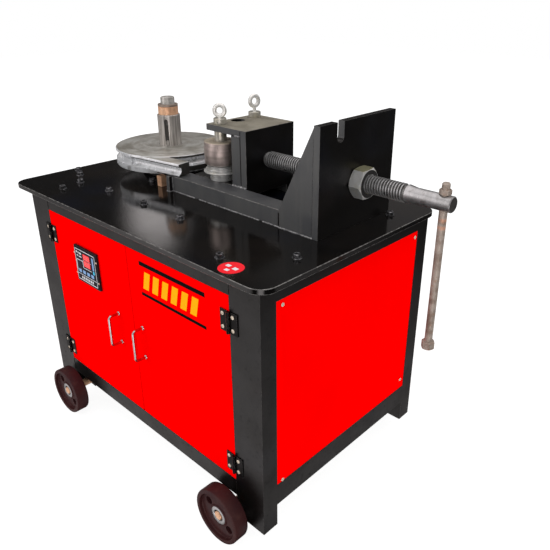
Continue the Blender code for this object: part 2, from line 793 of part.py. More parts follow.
def lead_screw():
    axis_at = (0, SCREW_Y, SCREW_Z)
    profile = [
        (0, SCREW_X[0]),
        (COLLAR, COLLAR_X[0]),
        (COLLAR, COLLAR_X[1]),
        (JOURNAL, COLLAR_X[1]),
        (JOURNAL, THREAD_X[0]),
        (THREAD, THREAD_X[0]),
        (THREAD, THREAD_X[1]),
        (SCREW_TAIL, THREAD_X[1] + TAPER),
        (SCREW_TAIL, SCREW_X[1] - 0.002),
        (SCREW_TAIL - 0.002, SCREW_X[1]),
        (0, SCREW_X[1]),
    ]
    origin = (SCREW_X[0], SCREW_Y, SCREW_Z)
    screw = add("lead_screw", turned(profile, 24, "X", axis_at), "polished_steel", origin, True)
    boolean(screw, rod(BAR + GAP, SCREW_Z - 0.03, SCREW_Z + 0.03, 16, at=(BAR_X, SCREW_Y, 0)))
    hex_nut("bracket_nut", "zinc", NUT_FLATS, THREAD + GAP, NUT_X, "X", axis_at, 13.0, 0.001)


def cross_bar():
    """The bar through the screw's end, with a hexagon head below and a nut above."""
    at = (BAR_X, SCREW_Y, 0)
    origin = (BAR_X, SCREW_Y, SCREW_Z)
    low, high = BAR_Z
    stem = rod(BAR, low + 0.002, high, 16, at=at, chamfer=0.0015)
    bar = add("cross_bar", stem, "rusty_steel", origin, True)
    head = prism(moved(hexagon(BAR_FLATS, 10), at[:2]), low, low + BAR_HEAD)
    boolean(bar, head, "UNION")
    nut_low = SCREW_Z + SCREW_TAIL + GAP
    span = (nut_low, nut_low + BAR_NUT)
    hex_nut("cross_bar_nut", "rusty_steel", BAR_NUT_FLATS, BAR + GAP, span, "Z", at, 20.0, 0.001, origin)


# ---------------------------------------------------------------- carriage


def carriage():
    x0, x1 = CARRIAGE_X
    y0, y1 = CARRIAGE_Y
    foot = TABLE_TOP + RUN
    solids = [
        (x0, x1, y0, y1, *BASE_PLATE),
        (x0, x1, y0, y0 + RUNNER, foot, BASE_PLATE[0]),
        (x0, x1, y1 - RUNNER, y1, foot, BASE_PLATE[0]),
        (BLOCK_X, x1, y0, y1, BASE_PLATE[1], TOP_PLATE_Z[0]),
        (TOP_PLATE_X, x1, y0, y1, *TOP_PLATE_Z),
    ]
    origin = (x1, SCREW_Y, SCREW_Z)
    frame = add("carriage_frame", blocks(solids), "black_paint", origin)
    boolean(frame, rod(JOURNAL + GAP, 0.0, 0.2, 20, "X", (0, SCREW_Y, SCREW_Z)))
    for y in PIN_Y.values():
        boolean(frame, rod(PIN + GAP, 0.77, 1.0, 20, at=(PIN_X, y, 0)))
    boolean(frame, rod(FREE_HOLE, 0.96, 1.0, 20, at=(PIN_X, FREE_HOLE_Y, 0)))


def roller_seat(place):
    at = (PIN_X, PIN_Y[place], 0)
    bore = PIN + GAP
    profile = [(bore, RAIL_TOP + GAP)]
    low = RAIL_TOP + GAP
    for radius, top in SEAT_STACK:
        profile += [(radius, low), (radius, top)]
        low = top
    profile.append((bore, low))
    add(f"{place}_roller_seat", turned(profile, 24, at=at), "zinc", at, True)


def roller(place):
    at = (PIN_X, PIN_Y[place], 0)
    low, high = ROLLER_Z
    edge = 0.002
    bore = PIN + RUN
    profile = [
        (bore, low),
        (ROLLER - edge, low),
        (ROLLER, low + edge),
        (ROLLER, high - edge),
        (ROLLER - edge, high),
        (bore, high),
    ]
    add(f"{place}_roller", turned(profile, 28, at=at), "dark_steel", at, True)


def eye_ring(centre, turn):
    """A ring standing on edge, whose hole faces the direction turn, in degrees."""
    bm = bmesh.new()
    around, across = 20, 8
    facing = Vector((math.cos(math.radians(turn)), math.sin(math.radians(turn)), 0))
    beside = Vector((-facing.y, facing.x, 0))
    rings = []
    for n in range(around):
        angle = 2 * math.pi * n / around
        out = beside * math.cos(angle) + Vector((0, 0, math.sin(angle)))
        loop = []
        for k in range(across):
            small = 2 * math.pi * k / across
            spot = out * (EYE_RING + EYE_WIRE * math.cos(small)) + facing * EYE_WIRE * math.sin(small)
            loop.append(bm.verts.new(Vector(centre) + spot))
        rings.append(loop)
    for n in range(around):
        low, high = rings[n], rings[(n + 1) % around]
        for k in range(across):
            after = (k + 1) % across
            bm.faces.new((low[k], low[after], high[after], high[k]))
    return bm


def roller_pin(place):
    at = (PIN_X, PIN_Y[place], 0)
    collar_low = TOP_PLATE_Z[1] + GAP
    profile = [
        (0, PIN_FOOT),
        (PIN - 0.002, PIN_FOOT),
        (PIN, PIN_FOOT + 0.002),
        (PIN, collar_low),
        (PIN_COLLAR, collar_low),
        (PIN_COLLAR, PIN_COLLAR_TOP - 0.002),
        (PIN_COLLAR - 0.002, PIN_COLLAR_TOP),
        (EYE_STALK, PIN_COLLAR_TOP),
        (EYE_STALK, EYE_Z[place] - EYE_RING + 0.001),
        (0, EYE_Z[place] - EYE_RING + 0.001),
    ]
    pin = add(f"{place}_roller_pin", turned(profile, 20, at=at), "zinc", at, True)
    boolean(pin, eye_ring((at[0], at[1], EYE_Z[place]), EYE_TURN[place] - 90), "UNION")


# ---------------------------------------------------------------- spindle


def radial_box(inner, outer, half_width, low, high, angle):
    """A box reaching out from the spindle's axis in one direction."""
    bm = blocks([(inner, outer, -half_width, half_width, low, high)])
    turn = Matrix.Rotation(math.radians(angle), 4, "Z")
    bmesh.ops.transform(bm, verts=bm.verts, matrix=Matrix.Translation((*SPINDLE, 0)) @ turn)
    return bm


def spindle():
    at = (*SPINDLE, 0)
    flange, flange_low, flange_high = SPINDLE_FLANGE
    low, high = SPINDLE_Z
    profile = [
        (0, low),
        (SPINDLE_RADIUS, low),
        (SPINDLE_RADIUS, flange_low),
        (flange, flange_low),
        (flange, flange_high),
        (SPINDLE_RADIUS, flange_high),
        (SPINDLE_RADIUS, SLEEVE_Z[1]),
        (SPINDLE_NECK, SLEEVE_Z[1]),
        (SPINDLE_NECK, high - 0.003),
        (SPINDLE_NECK - 0.003, high),
        (0, high),
    ]
    add("spindle_shaft", turned(profile, 28, at=at), "polished_steel", at, True)
    band = ring(RING, SPINDLE_NECK + GAP, *RING_Z, 28, at=at)
    add("spindle_ring", band, "bronze", at, True)
    body = ring(SLEEVE, SPINDLE_RADIUS + GAP, *SLEEVE_Z, 28, at=at)
    sleeve = add("keyed_sleeve", body, "dark_steel", at, True)
    floor = SLEEVE - KEYWAY_DEPTH
    slot = radial_box(floor, SLEEVE + 0.01, KEYWAY_HALF, *KEYWAY_Z, KEYWAY_ANGLE)
    boolean(sleeve, slot)
    key_span = (KEYWAY_Z[0] + GAP, KEY_TOP)
    key = radial_box(floor + GAP, SLEEVE + 0.003, KEYWAY_HALF - GAP, *key_span, KEYWAY_ANGLE)
    add("drive_key", key, "polished_steel", at)


def bending_die():
    at = (*SPINDLE, 0)
    low, high = DIE_Z
    edge = 0.0015
    groove = [
        (DIE - GROOVE * math.cos(math.radians(a)), GROOVE_Z + GROOVE * math.sin(math.radians(a)))
        for a in range(-90, 91, 30)
    ]
    profile = [
        (SLEEVE + GAP, low),
        (DIE - edge, low),
        (DIE, low + edge),
        *groove,
        (DIE, high - edge),
        (DIE - edge, high),
        (SLEEVE + GAP, high),
    ]
    die = add("bending_die", turned(profile, 48, at=at), "polished_steel", at, True)
    turn = Matrix.Translation(at) @ Matrix.Rotation(math.radians(TAIL_ANGLE), 4, "Z")
    tail = blocks([(0, TAIL_LENGTH, -TAIL_OFFSET[1], -TAIL_OFFSET[0], *TAIL_Z)])
    bmesh.ops.transform(tail, verts=tail.verts, matrix=turn)
    boolean(die, tail, "UNION")
    straight = rod(GROOVE, 0.0005, TAIL_LENGTH + 0.02, 12, "X", (0, -DIE, GROOVE_Z))
    bmesh.ops.transform(straight, verts=straight.verts, matrix=turn)
    boolean(die, straight)


def spindle_bearing():
    at = (*SPINDLE, 0)
    neck, flange = BEARING
    low, high = BEARING_Z
    bore = SPINDLE_RADIUS + GAP
    shoulder = TABLE_TOP + GAP
    profile = [(bore, low), (neck, low), (neck, shoulder), (flange, shoulder), (flange, high), (bore, high)]
    add("spindle_bearing", turned(profile, 32, at=at), "grey_iron", at, True)
    x, y = PAD_AT
    half = PAD_HALF
    pad = blocks([(x - half, x + half, y - half, y + half, TABLE_TOP + GAP, DIE_Z[0] - GAP)])
    add("die_support_pad", pad, "bronze")


# ---------------------------------------------------------------- drive


def gearbox():
    x0, x1 = GEARBOX_X
    y0, y1 = GEARBOX_Y
    z0, z1 = GEARBOX_Z
    wall = GEARBOX_WALL
    solids = [(x0, x1, y0, y1, z0, z1)]
    for px in ((x0, x0 + POST), (x1 - POST, x1)):
        for py in ((y0 - POST, y0), (y1, y1 + POST)):
            solids.append((*px, *py, z1 - 0.05, TABLE_UNDER - GAP))
    room = (x0 + wall, x1 - wall, y0 + wall, y1 - wall, z0 + GEARBOX_FLOOR, z1)
    box = add("gearbox_housing", blocks(solids, [room]), "grey_iron")
    at = (*SPINDLE, 0)
    boolean(box, rod(SPINDLE_RADIUS + GAP, z0 - 0.01, z0 + 0.02, 24, at=at))
    boolean(box, rod(WORM_SHAFT + GAP, y0 - 0.01, y1 + 0.01, 16, "Y", (WORM_X, 0, WORM_Z)))
    lid_low = z1 + GAP
    lid = add("gearbox_cover", blocks([(x0, x1, y0, y1, lid_low, lid_low + COVER_THICK)]), "grey_iron")
    boolean(lid, rod(SPINDLE_RADIUS + GAP, z1 - 0.01, z1 + 0.02, 24, at=at))


def worm_wheel():
    outline = []
    for tooth in range(WHEEL_TEETH):
        for share, radius in ((0.0, TOOTH_ROOT), (0.30, TOOTH_ROOT), (0.45, TOOTH_TIP), (0.85, TOOTH_TIP)):
            angle = 2 * math.pi * (tooth + share) / WHEEL_TEETH
            outline.append((SPINDLE[0] + radius * math.cos(angle), SPINDLE[1] + radius * math.sin(angle)))
    at = (*SPINDLE, 0)
    gear = add("worm_wheel", prism(outline, *WORM_WHEEL_Z), "bronze", at)
    boolean(gear, rod(SPINDLE_RADIUS + GAP, 0.58, 0.64, 24, at=at))


def groove_pulley(radius, bore):
    """Profile of a V-belt pulley: the belt sits between the two lips."""
    low, high = PULLEY_Y
    middle = (low + high) / 2
    seat = radius - BELT_THICK - 2 * RUN
    return [
        (bore, low),
        (radius + PULLEY_LIP / 2, low),
        (radius + PULLEY_LIP / 2, middle - BELT_HALF - 0.0015),
        (seat, middle - BELT_HALF - 0.0005),
        (seat, middle + BELT_HALF + 0.0005),
        (radius + PULLEY_LIP / 2, middle + BELT_HALF + 0.0015),
        (radius + PULLEY_LIP / 2, high),
        (bore, high),
    ]


def drive_line():
    low, high = WORM_SHAFT_Y
    profile = [(0, low), (WORM_SHAFT, low), (WORM_SHAFT, WORM_Y[0]), (WORM, WORM_Y[0])]
    turns = 4
    pitch = (WORM_Y[1] - WORM_Y[0]) / turns
    for n in range(turns):
        start = WORM_Y[0] + n * pitch
        profile += [
            (WORM, start + 0.30 * pitch),
            (WORM - 0.005, start + 0.45 * pitch),
            (WORM - 0.005, start + 0.70 * pitch),
            (WORM, start + 0.85 * pitch),
        ]
    profile += [(WORM, WORM_Y[1]), (WORM_SHAFT, WORM_Y[1]), (WORM_SHAFT, high), (0, high)]
    at = (WORM_X, 0, WORM_Z)
    add("worm_shaft", turned(profile, 16, "Y", at), "polished_steel", at, True)
    big = turned(groove_pulley(DRIVEN_PULLEY, WORM_SHAFT + GAP), 28, "Y", at)
    add("driven_pulley", big, "grey_iron", at, True)

    place = (MOTOR_AT[0], 0, MOTOR_AT[1])
    nose, nose_length = MOTOR_NOSE
    cover, cover_length = FAN_COVER
    case = [
        (MOTOR_SHAFT + GAP, MOTOR_Y[1]),
        (nose, MOTOR_Y[1]),
        (nose, MOTOR_Y[1] - nose_length),
        (MOTOR, MOTOR_Y[1] - MOTOR_SHOULDER),
        (MOTOR, MOTOR_Y[0] + cover_length),
        (cover, MOTOR_Y[0] + cover_length - 0.005),
        (cover, MOTOR_Y[0] + 0.008),
        (cover - 0.012, MOTOR_Y[0]),
        (0, MOTOR_Y[0]),
        (0, MOTOR_Y[1] - 0.040),
        (MOTOR_SHAFT + GAP, MOTOR_Y[1] - 0.040),
    ]
    motor = add("motor", turned_open(case, 28, "Y", place), "motor_blue", smooth=True)
    (fx0, fx1), (fy0, fy1) = MOTOR_FOOT
    foot_low = SIDE_LOW_TOP + SHELF_THICK + 2 * GAP
    boolean(motor, blocks([(fx0, fx1, fy0, fy1, foot_low, MOTOR_AT[1] - MOTOR + 0.02)]), "UNION")
    boolean(motor, blocks([TERMINAL_BOX]), "UNION")
    small = turned(groove_pulley(MOTOR_PULLEY, MOTOR_SHAFT - 0.001), 24, "Y", place)
    pulley = add("motor_pulley", small, "grey_iron", place, True)
    boolean(pulley, rod(MOTOR_SHAFT, MOTOR_Y[1] - 0.035, PULLEY_Y[1] + 0.008, 16, "Y", place), "UNION")


def belt_loop(big, big_radius, small, small_radius, steps):
    """Points round two pulleys: an arc on each, joined by straight runs."""
    away = Vector(small) - Vector(big)
    line = math.degrees(math.atan2(away.y, away.x))
    lean = math.degrees(math.acos((big_radius - small_radius) / away.length))
    around_big = arc(big, big_radius, line + lean, line + 360 - lean, steps)
    around_small = arc(small, small_radius, line - lean, line + lean, steps)
    return around_big + around_small


def v_belt():
    ends = ((WORM_X, WORM_Z), MOTOR_AT)
    outer = belt_loop(ends[0], DRIVEN_PULLEY, ends[1], MOTOR_PULLEY, 12)
    inner = belt_loop(ends[0], DRIVEN_PULLEY - BELT_THICK, ends[1], MOTOR_PULLEY - BELT_THICK, 12)
    middle = sum(PULLEY_Y) / 2
    bm = bmesh.new()
    stations = []
    for (ox, oz), (ix, iz) in zip(outer, inner):
        corners = (
            (ox, middle - BELT_HALF, oz),
            (ox, middle + BELT_HALF, oz),
            (ix, middle + BELT_HALF - 0.001, iz),
            (ix, middle - BELT_HALF + 0.001, iz),
        )
        stations.append([bm.verts.new(c) for c in corners])
    for n, here in enumerate(stations):
        there = stations[(n + 1) % len(stations)]
        for k in range(4):
            after = (k + 1) % 4
            bm.faces.new((here[k], here[after], there[after], there[k]))
    add("v_belt", bm, "rubber")


# ---------------------------------------------------------------- the machine


def build():
    clear_scene()
    machine = bpy.data.objects.new("machine", None)
    machine.location = (MACHINE_X, 0, 0)
    bpy.context.scene.collection.objects.link(machine)

    cabinet_frame()
    table_plate()
    panels_and_shelf()
    for side in ("left", "right"):
        door(side)
        handle(side)
    hinges()
    control_unit()
    wheels_and_axles()

    guide_rails()
    screw_bracket()
    lead_screw()
    cross_bar()
    carriage()
    for place in ("front", "rear"):
        roller_seat(place)
        roller(place)
        roller_pin(place)

    spindle()
    bending_die()
    spindle_bearing()
    gearbox()
    worm_wheel()
    drive_line()
    v_belt()


build()
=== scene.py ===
"""Looks of the electric pipe bender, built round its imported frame.

Lengths are in metres, in the row frame: x along the front, y to the back, z up from the floor.
Places come from the boxes of the frame's nodes.  Each material is a Principled shader whose colour,
roughness and bump vary through procedural nodes.
"""

import itertools
import json
import math
import random

import bmesh
import bpy
from mathutils import Matrix, Vector

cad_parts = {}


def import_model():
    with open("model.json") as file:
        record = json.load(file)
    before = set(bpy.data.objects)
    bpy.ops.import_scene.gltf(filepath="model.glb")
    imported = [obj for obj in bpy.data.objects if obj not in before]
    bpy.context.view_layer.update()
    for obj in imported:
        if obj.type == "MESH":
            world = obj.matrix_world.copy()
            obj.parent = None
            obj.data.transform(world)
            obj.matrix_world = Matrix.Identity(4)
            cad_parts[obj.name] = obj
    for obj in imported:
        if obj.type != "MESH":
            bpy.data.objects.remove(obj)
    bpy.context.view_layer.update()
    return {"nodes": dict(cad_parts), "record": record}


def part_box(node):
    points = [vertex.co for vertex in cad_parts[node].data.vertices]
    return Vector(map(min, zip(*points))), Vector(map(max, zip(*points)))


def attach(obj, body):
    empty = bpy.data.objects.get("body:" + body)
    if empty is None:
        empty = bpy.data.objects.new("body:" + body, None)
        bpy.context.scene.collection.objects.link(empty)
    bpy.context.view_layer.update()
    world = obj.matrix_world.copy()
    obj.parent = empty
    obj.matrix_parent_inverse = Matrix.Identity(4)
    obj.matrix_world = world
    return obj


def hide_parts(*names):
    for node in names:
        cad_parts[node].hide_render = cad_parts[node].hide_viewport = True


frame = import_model()

# Camera: azimuth is measured from the front towards the right end.
CAMERA_AT = (1.26340, -1.11795, 1.35321)
CAMERA_AZIMUTH = 43.2258
CAMERA_ELEVATION = 24.4871
CAMERA_LENS = 39.118
CAMERA_SHIFT = (-0.01534, -0.02747)

FACETS = 64     # sides of a turned shape


def middle(node):
    """The centre of a node's box."""
    low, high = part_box(node)
    return (low + high) / 2


def under(node):
    """The point on the floor below a node's centre."""
    return (middle(node).x, middle(node).y, 0)


MIDDLE = middle("cabinet_frame").x
TABLE_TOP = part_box("table_plate")[1].z
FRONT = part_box("cabinet_frame")[0].y
SPINDLE = under("spindle_shaft")


# ---------------------------------------------------------------- shapes


def cad_mesh(node):
    """A bmesh with the shape of a frame node, its flat faces made whole again."""
    source = frame["nodes"][node].data
    bm = bmesh.new()
    corners = [bm.verts.new(v.co) for v in source.vertices]
    for face in source.polygons:
        bm.faces.new([corners[n] for n in face.vertices])
    bmesh.ops.remove_doubles(bm, verts=bm.verts, dist=0.00001)
    bm.normal_update()
    bmesh.ops.dissolve_limit(bm, angle_limit=math.radians(0.5), verts=bm.verts, edges=bm.edges)
    return bm


def circle(centre, radius, sides, start=0.0):
    angles = [start + 2 * math.pi * n / sides for n in range(sides)]
    return [(centre[0] + radius * math.cos(a), centre[1] + radius * math.sin(a)) for a in angles]


def arc(centre, radius, start, end, steps):
    """Points on an arc, from one angle to another, in degrees."""
    angles = [math.radians(start + (end - start) * n / steps) for n in range(steps + 1)]
    return [(centre[0] + radius * math.cos(a), centre[1] + radius * math.sin(a)) for a in angles]


AXIS_TURNS = {
    "Z": Matrix.Identity(4),
    "X": Matrix(((0, 0, 1, 0), (0, 1, 0, 0), (-1, 0, 0, 0), (0, 0, 0, 1))),
    "Y": Matrix(((1, 0, 0, 0), (0, 0, 1, 0), (0, -1, 0, 0), (0, 0, 0, 1))),
}


def placed(bm, axis="Z", at=(0, 0, 0), flip=False):
    """Turns a shape made round Z to lie along an axis, and moves it to its place."""
    if flip:
        bmesh.ops.scale(bm, vec=(1, 1, -1), verts=bm.verts)
    return moved(bm, Matrix.Translation(at) @ AXIS_TURNS[axis])


def bridge(bm, low, high, material=0):
    """Faces between two rings of corners.  A ring of one corner is a tip."""
    count = max(len(low), len(high))
    for n in range(count):
        after = (n + 1) % count
        if len(low) == 1:
            corners = (low[0], high[n], high[after])
        elif len(high) == 1:
            corners = (low[n], high[0], low[after])
        else:
            corners = (low[n], low[after], high[after], high[n])
        bm.faces.new(corners).material_index = material


def moved(bm, matrix):
    bmesh.ops.transform(bm, verts=bm.verts, matrix=matrix)
    bmesh.ops.recalc_face_normals(bm, faces=bm.faces)
    return bm


def lathe(profile, sides=FACETS, axis="Z", at=(0, 0, 0), flip=False):
    """A turned shape.  The profile's points are (radius, distance along the axis)."""
    bm = bmesh.new()
    rings = []
    for radius, height in profile:
        spots = circle((0, 0), radius, sides) if radius else [(0, 0)]
        rings.append([bm.verts.new((x, y, height)) for x, y in spots])
    if profile[0][0] and profile[-1][0]:
        rings.append(rings[0])
    for low, high in zip(rings, rings[1:]):
        bridge(bm, low, high)
    return placed(bm, axis, at, flip)


def mirrored(half, low, high):
    """A profile with two like ends, from (radius, distance in from the end)."""
    return [(r, low + inward) for r, inward in half] + [(r, high - inward) for r, inward in reversed(half)]


def prism(outline, low, high, axis="Z", at=(0, 0, 0)):
    """A flat outline pushed out along an axis."""
    bm = bmesh.new()
    lower, upper = ([bm.verts.new((x, y, z)) for x, y in outline] for z in (low, high))
    bm.faces.new(lower)
    bm.faces.new(upper)
    bridge(bm, lower, upper)
    return placed(bm, axis, at)


def slab(low, high):
    """A box between two corners."""
    bm = bmesh.new()
    bmesh.ops.create_cube(bm, size=1)
    low, high = Vector(low), Vector(high)
    bmesh.ops.scale(bm, vec=high - low, verts=bm.verts)
    bmesh.ops.translate(bm, vec=(low + high) / 2, verts=bm.verts)
    return bm


def tube(path, radii, sides=12, closed=False):
    """A round wire along a path, with one radius or one for each point."""
    points = [Vector(p) for p in path]
    if not hasattr(radii, "__len__"):
        radii = [radii] * len(points)
    bm = bmesh.new()
    rings = []
    side = None
    for n, point in enumerate(points):
        before = points[n - 1] if n or closed else point
        after = points[(n + 1) % len(points)] if n < len(points) - 1 or closed else point
        forward = (after - before).normalized()
        if side is None:
            guide = Vector((0, 0, 1)) if abs(forward.z) < 0.9 else Vector((1, 0, 0))
            side = forward.cross(guide)
        side = (side - forward * side.dot(forward)).normalized()
        up = side.cross(forward)
        spots = [point + (side * a + up * b) * radii[n] for a, b in circle((0, 0), 1, sides)]
        rings.append([bm.verts.new(spot) for spot in spots])
    for low, high in zip(rings, rings[1:]):
        bridge(bm, low, high)
    if closed:
        bridge(bm, rings[-1], rings[0])
    else:
        bm.faces.new(rings[0])
        bm.faces.new(rings[-1])
    bmesh.ops.recalc_face_normals(bm, faces=bm.faces)
    return bm


def joined(*shapes):
    """Several shapes in one bmesh, each keeping its own skin."""
    bm = bmesh.new()
    for shape in shapes:
        copy = bpy.data.meshes.new("part")
        shape.to_mesh(copy)
        bm.from_mesh(copy)
        shape.free()
        bpy.data.meshes.remove(copy)
    return bm


def carved(bm, *steps):
    """The shape after Boolean steps.  Each step is (operation, other shape)."""

    def hold(shape, name):
        mesh = bpy.data.meshes.new(name)
        shape.to_mesh(mesh)
        shape.free()
        thing = bpy.data.objects.new(name, mesh)
        bpy.context.scene.collection.objects.link(thing)
        return thing

    target = hold(bm, "carving")
    others = [hold(shape, "carver") for _, shape in steps]
    for (operation, _), other in zip(steps, others):
        modifier = target.modifiers.new("carve", "BOOLEAN")
        modifier.operation = operation
        modifier.solver = "EXACT"
        modifier.object = other
    graph = bpy.context.evaluated_depsgraph_get()
    mesh = bpy.data.meshes.new_from_object(target.evaluated_get(graph), depsgraph=graph)
    result = bmesh.new()
    result.from_mesh(mesh)
    bpy.data.meshes.remove(mesh)
    for thing in (target, *others):
        bpy.data.meshes.remove(thing.data)
    return result


def hexagon(flats, turn=0.0):
    return circle((0, 0), flats / math.sqrt(3), 6, math.radians(turn))


def nut_shape(flats, height, bore, turn, axis, at, chamfer=0.0012):
    """A hexagon nut standing on its own Z, with turned-down corners and a chamfered bore."""
    lip, beyond = 0.0012, 0.01
    out = flats / math.sqrt(3) + 0.004
    inner = flats / 2 - chamfer
    rise = (out - inner) * math.tan(math.radians(30))
    steps = [("INTERSECT", lathe(mirrored([(0, 0), (inner, 0), (out, rise)], 0, height)))]
    if bore:
        half = [(0, -beyond), (bore + lip, -beyond), (bore + lip, 0), (bore, lip)]
        steps.append(("DIFFERENCE", lathe(mirrored(half, 0, height))))
    return placed(carved(prism(hexagon(flats, turn), 0, height), *steps), axis, at)


def piece(name, bm, materials, body, replaces=(), bevel=0.0, angle=35, edge=None):
    """A finished piece: shading, bevel, materials, the body it rides on and what it stands for.

    edge is the number of the material that the bevelled edges take.
    """
    mesh = bpy.data.meshes.new(name)
    bm.to_mesh(mesh)
    bm.free()
    for material in materials if isinstance(materials, (list, tuple)) else [materials]:
        mesh.materials.append(material)
    mesh.shade_smooth()
    mesh.set_sharp_from_angle(angle=math.radians(angle))
    thing = bpy.data.objects.new(name, mesh)
    bpy.context.scene.collection.objects.link(thing)
    if bevel:
        modifier = thing.modifiers.new("edges", "BEVEL")
        modifier.width = bevel
        modifier.segments = 2
        modifier.limit_method = "ANGLE"
        modifier.angle_limit = math.radians(30)
        modifier.harden_normals = True
        if edge is not None:
            modifier.material = edge
    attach(thing, body)
    if replaces:
        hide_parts(*replaces)
    return thing


def body_of(node):
    bodies = frame["record"]["behaviour"]["bodies"]
    return next(body for body, members in bodies.items() if node in members)


def skin(node, materials, bevel=0.001, edge=None, angle=35, shape=None):
    """A piece in place of one frame node: the node's own shape with soft edges, or a finer shape."""
    bm = shape or cad_mesh(node)
    name = node + "_skin"
    return piece(name, bm, materials, body_of(node), [node], bevel, angle, edge)


def paint_faces(thing, number, test):
    """Gives a material number to the faces whose centre and normal pass a test."""
    for face in thing.data.polygons:
        if test(face.center, face.normal):
            face.material_index = number


def bead(path, radius, seed, ripple=0.0034):
    """A weld bead along straight stretches: a tube with overlapping ripples and uneven edges."""
    rng = random.Random(seed)
    points, radii = [], []
    corners = [Vector(p) for p in path]
    for start, end in zip(corners, corners[1:]):
        count = max(int((end - start).length / (ripple / 3)), 2)
        for n in range(count):
            wave = abs(math.sin(math.pi * n / 3 + 0.4))
            points.append(start.lerp(end, n / count))
            radii.append(radius * (0.72 + 0.30 * wave + rng.uniform(-0.10, 0.14)))
    points.append(corners[-1])
    radii.append(radius * 0.5)
    radii[0] = radius * 0.5
    shift = radius * 0.14
    points = [p + Vector([rng.uniform(-shift, shift) for _ in range(3)]) for p in points]
    return tube(points, radii, 8)


def beads(name, spans, metal, body, ripple=0.0034):
    """One piece of weld beads.  Each span is (seed, radius, start, end)."""
    shapes = [bead([start, end], radius, seed, ripple) for seed, radius, start, end in spans]
    piece(name, joined(*shapes), metal, body, angle=60)


def screws(name, heads, metal, body):
    piece(name, joined(*heads), metal, body, angle=25)


# ---------------------------------------------------------------- materials


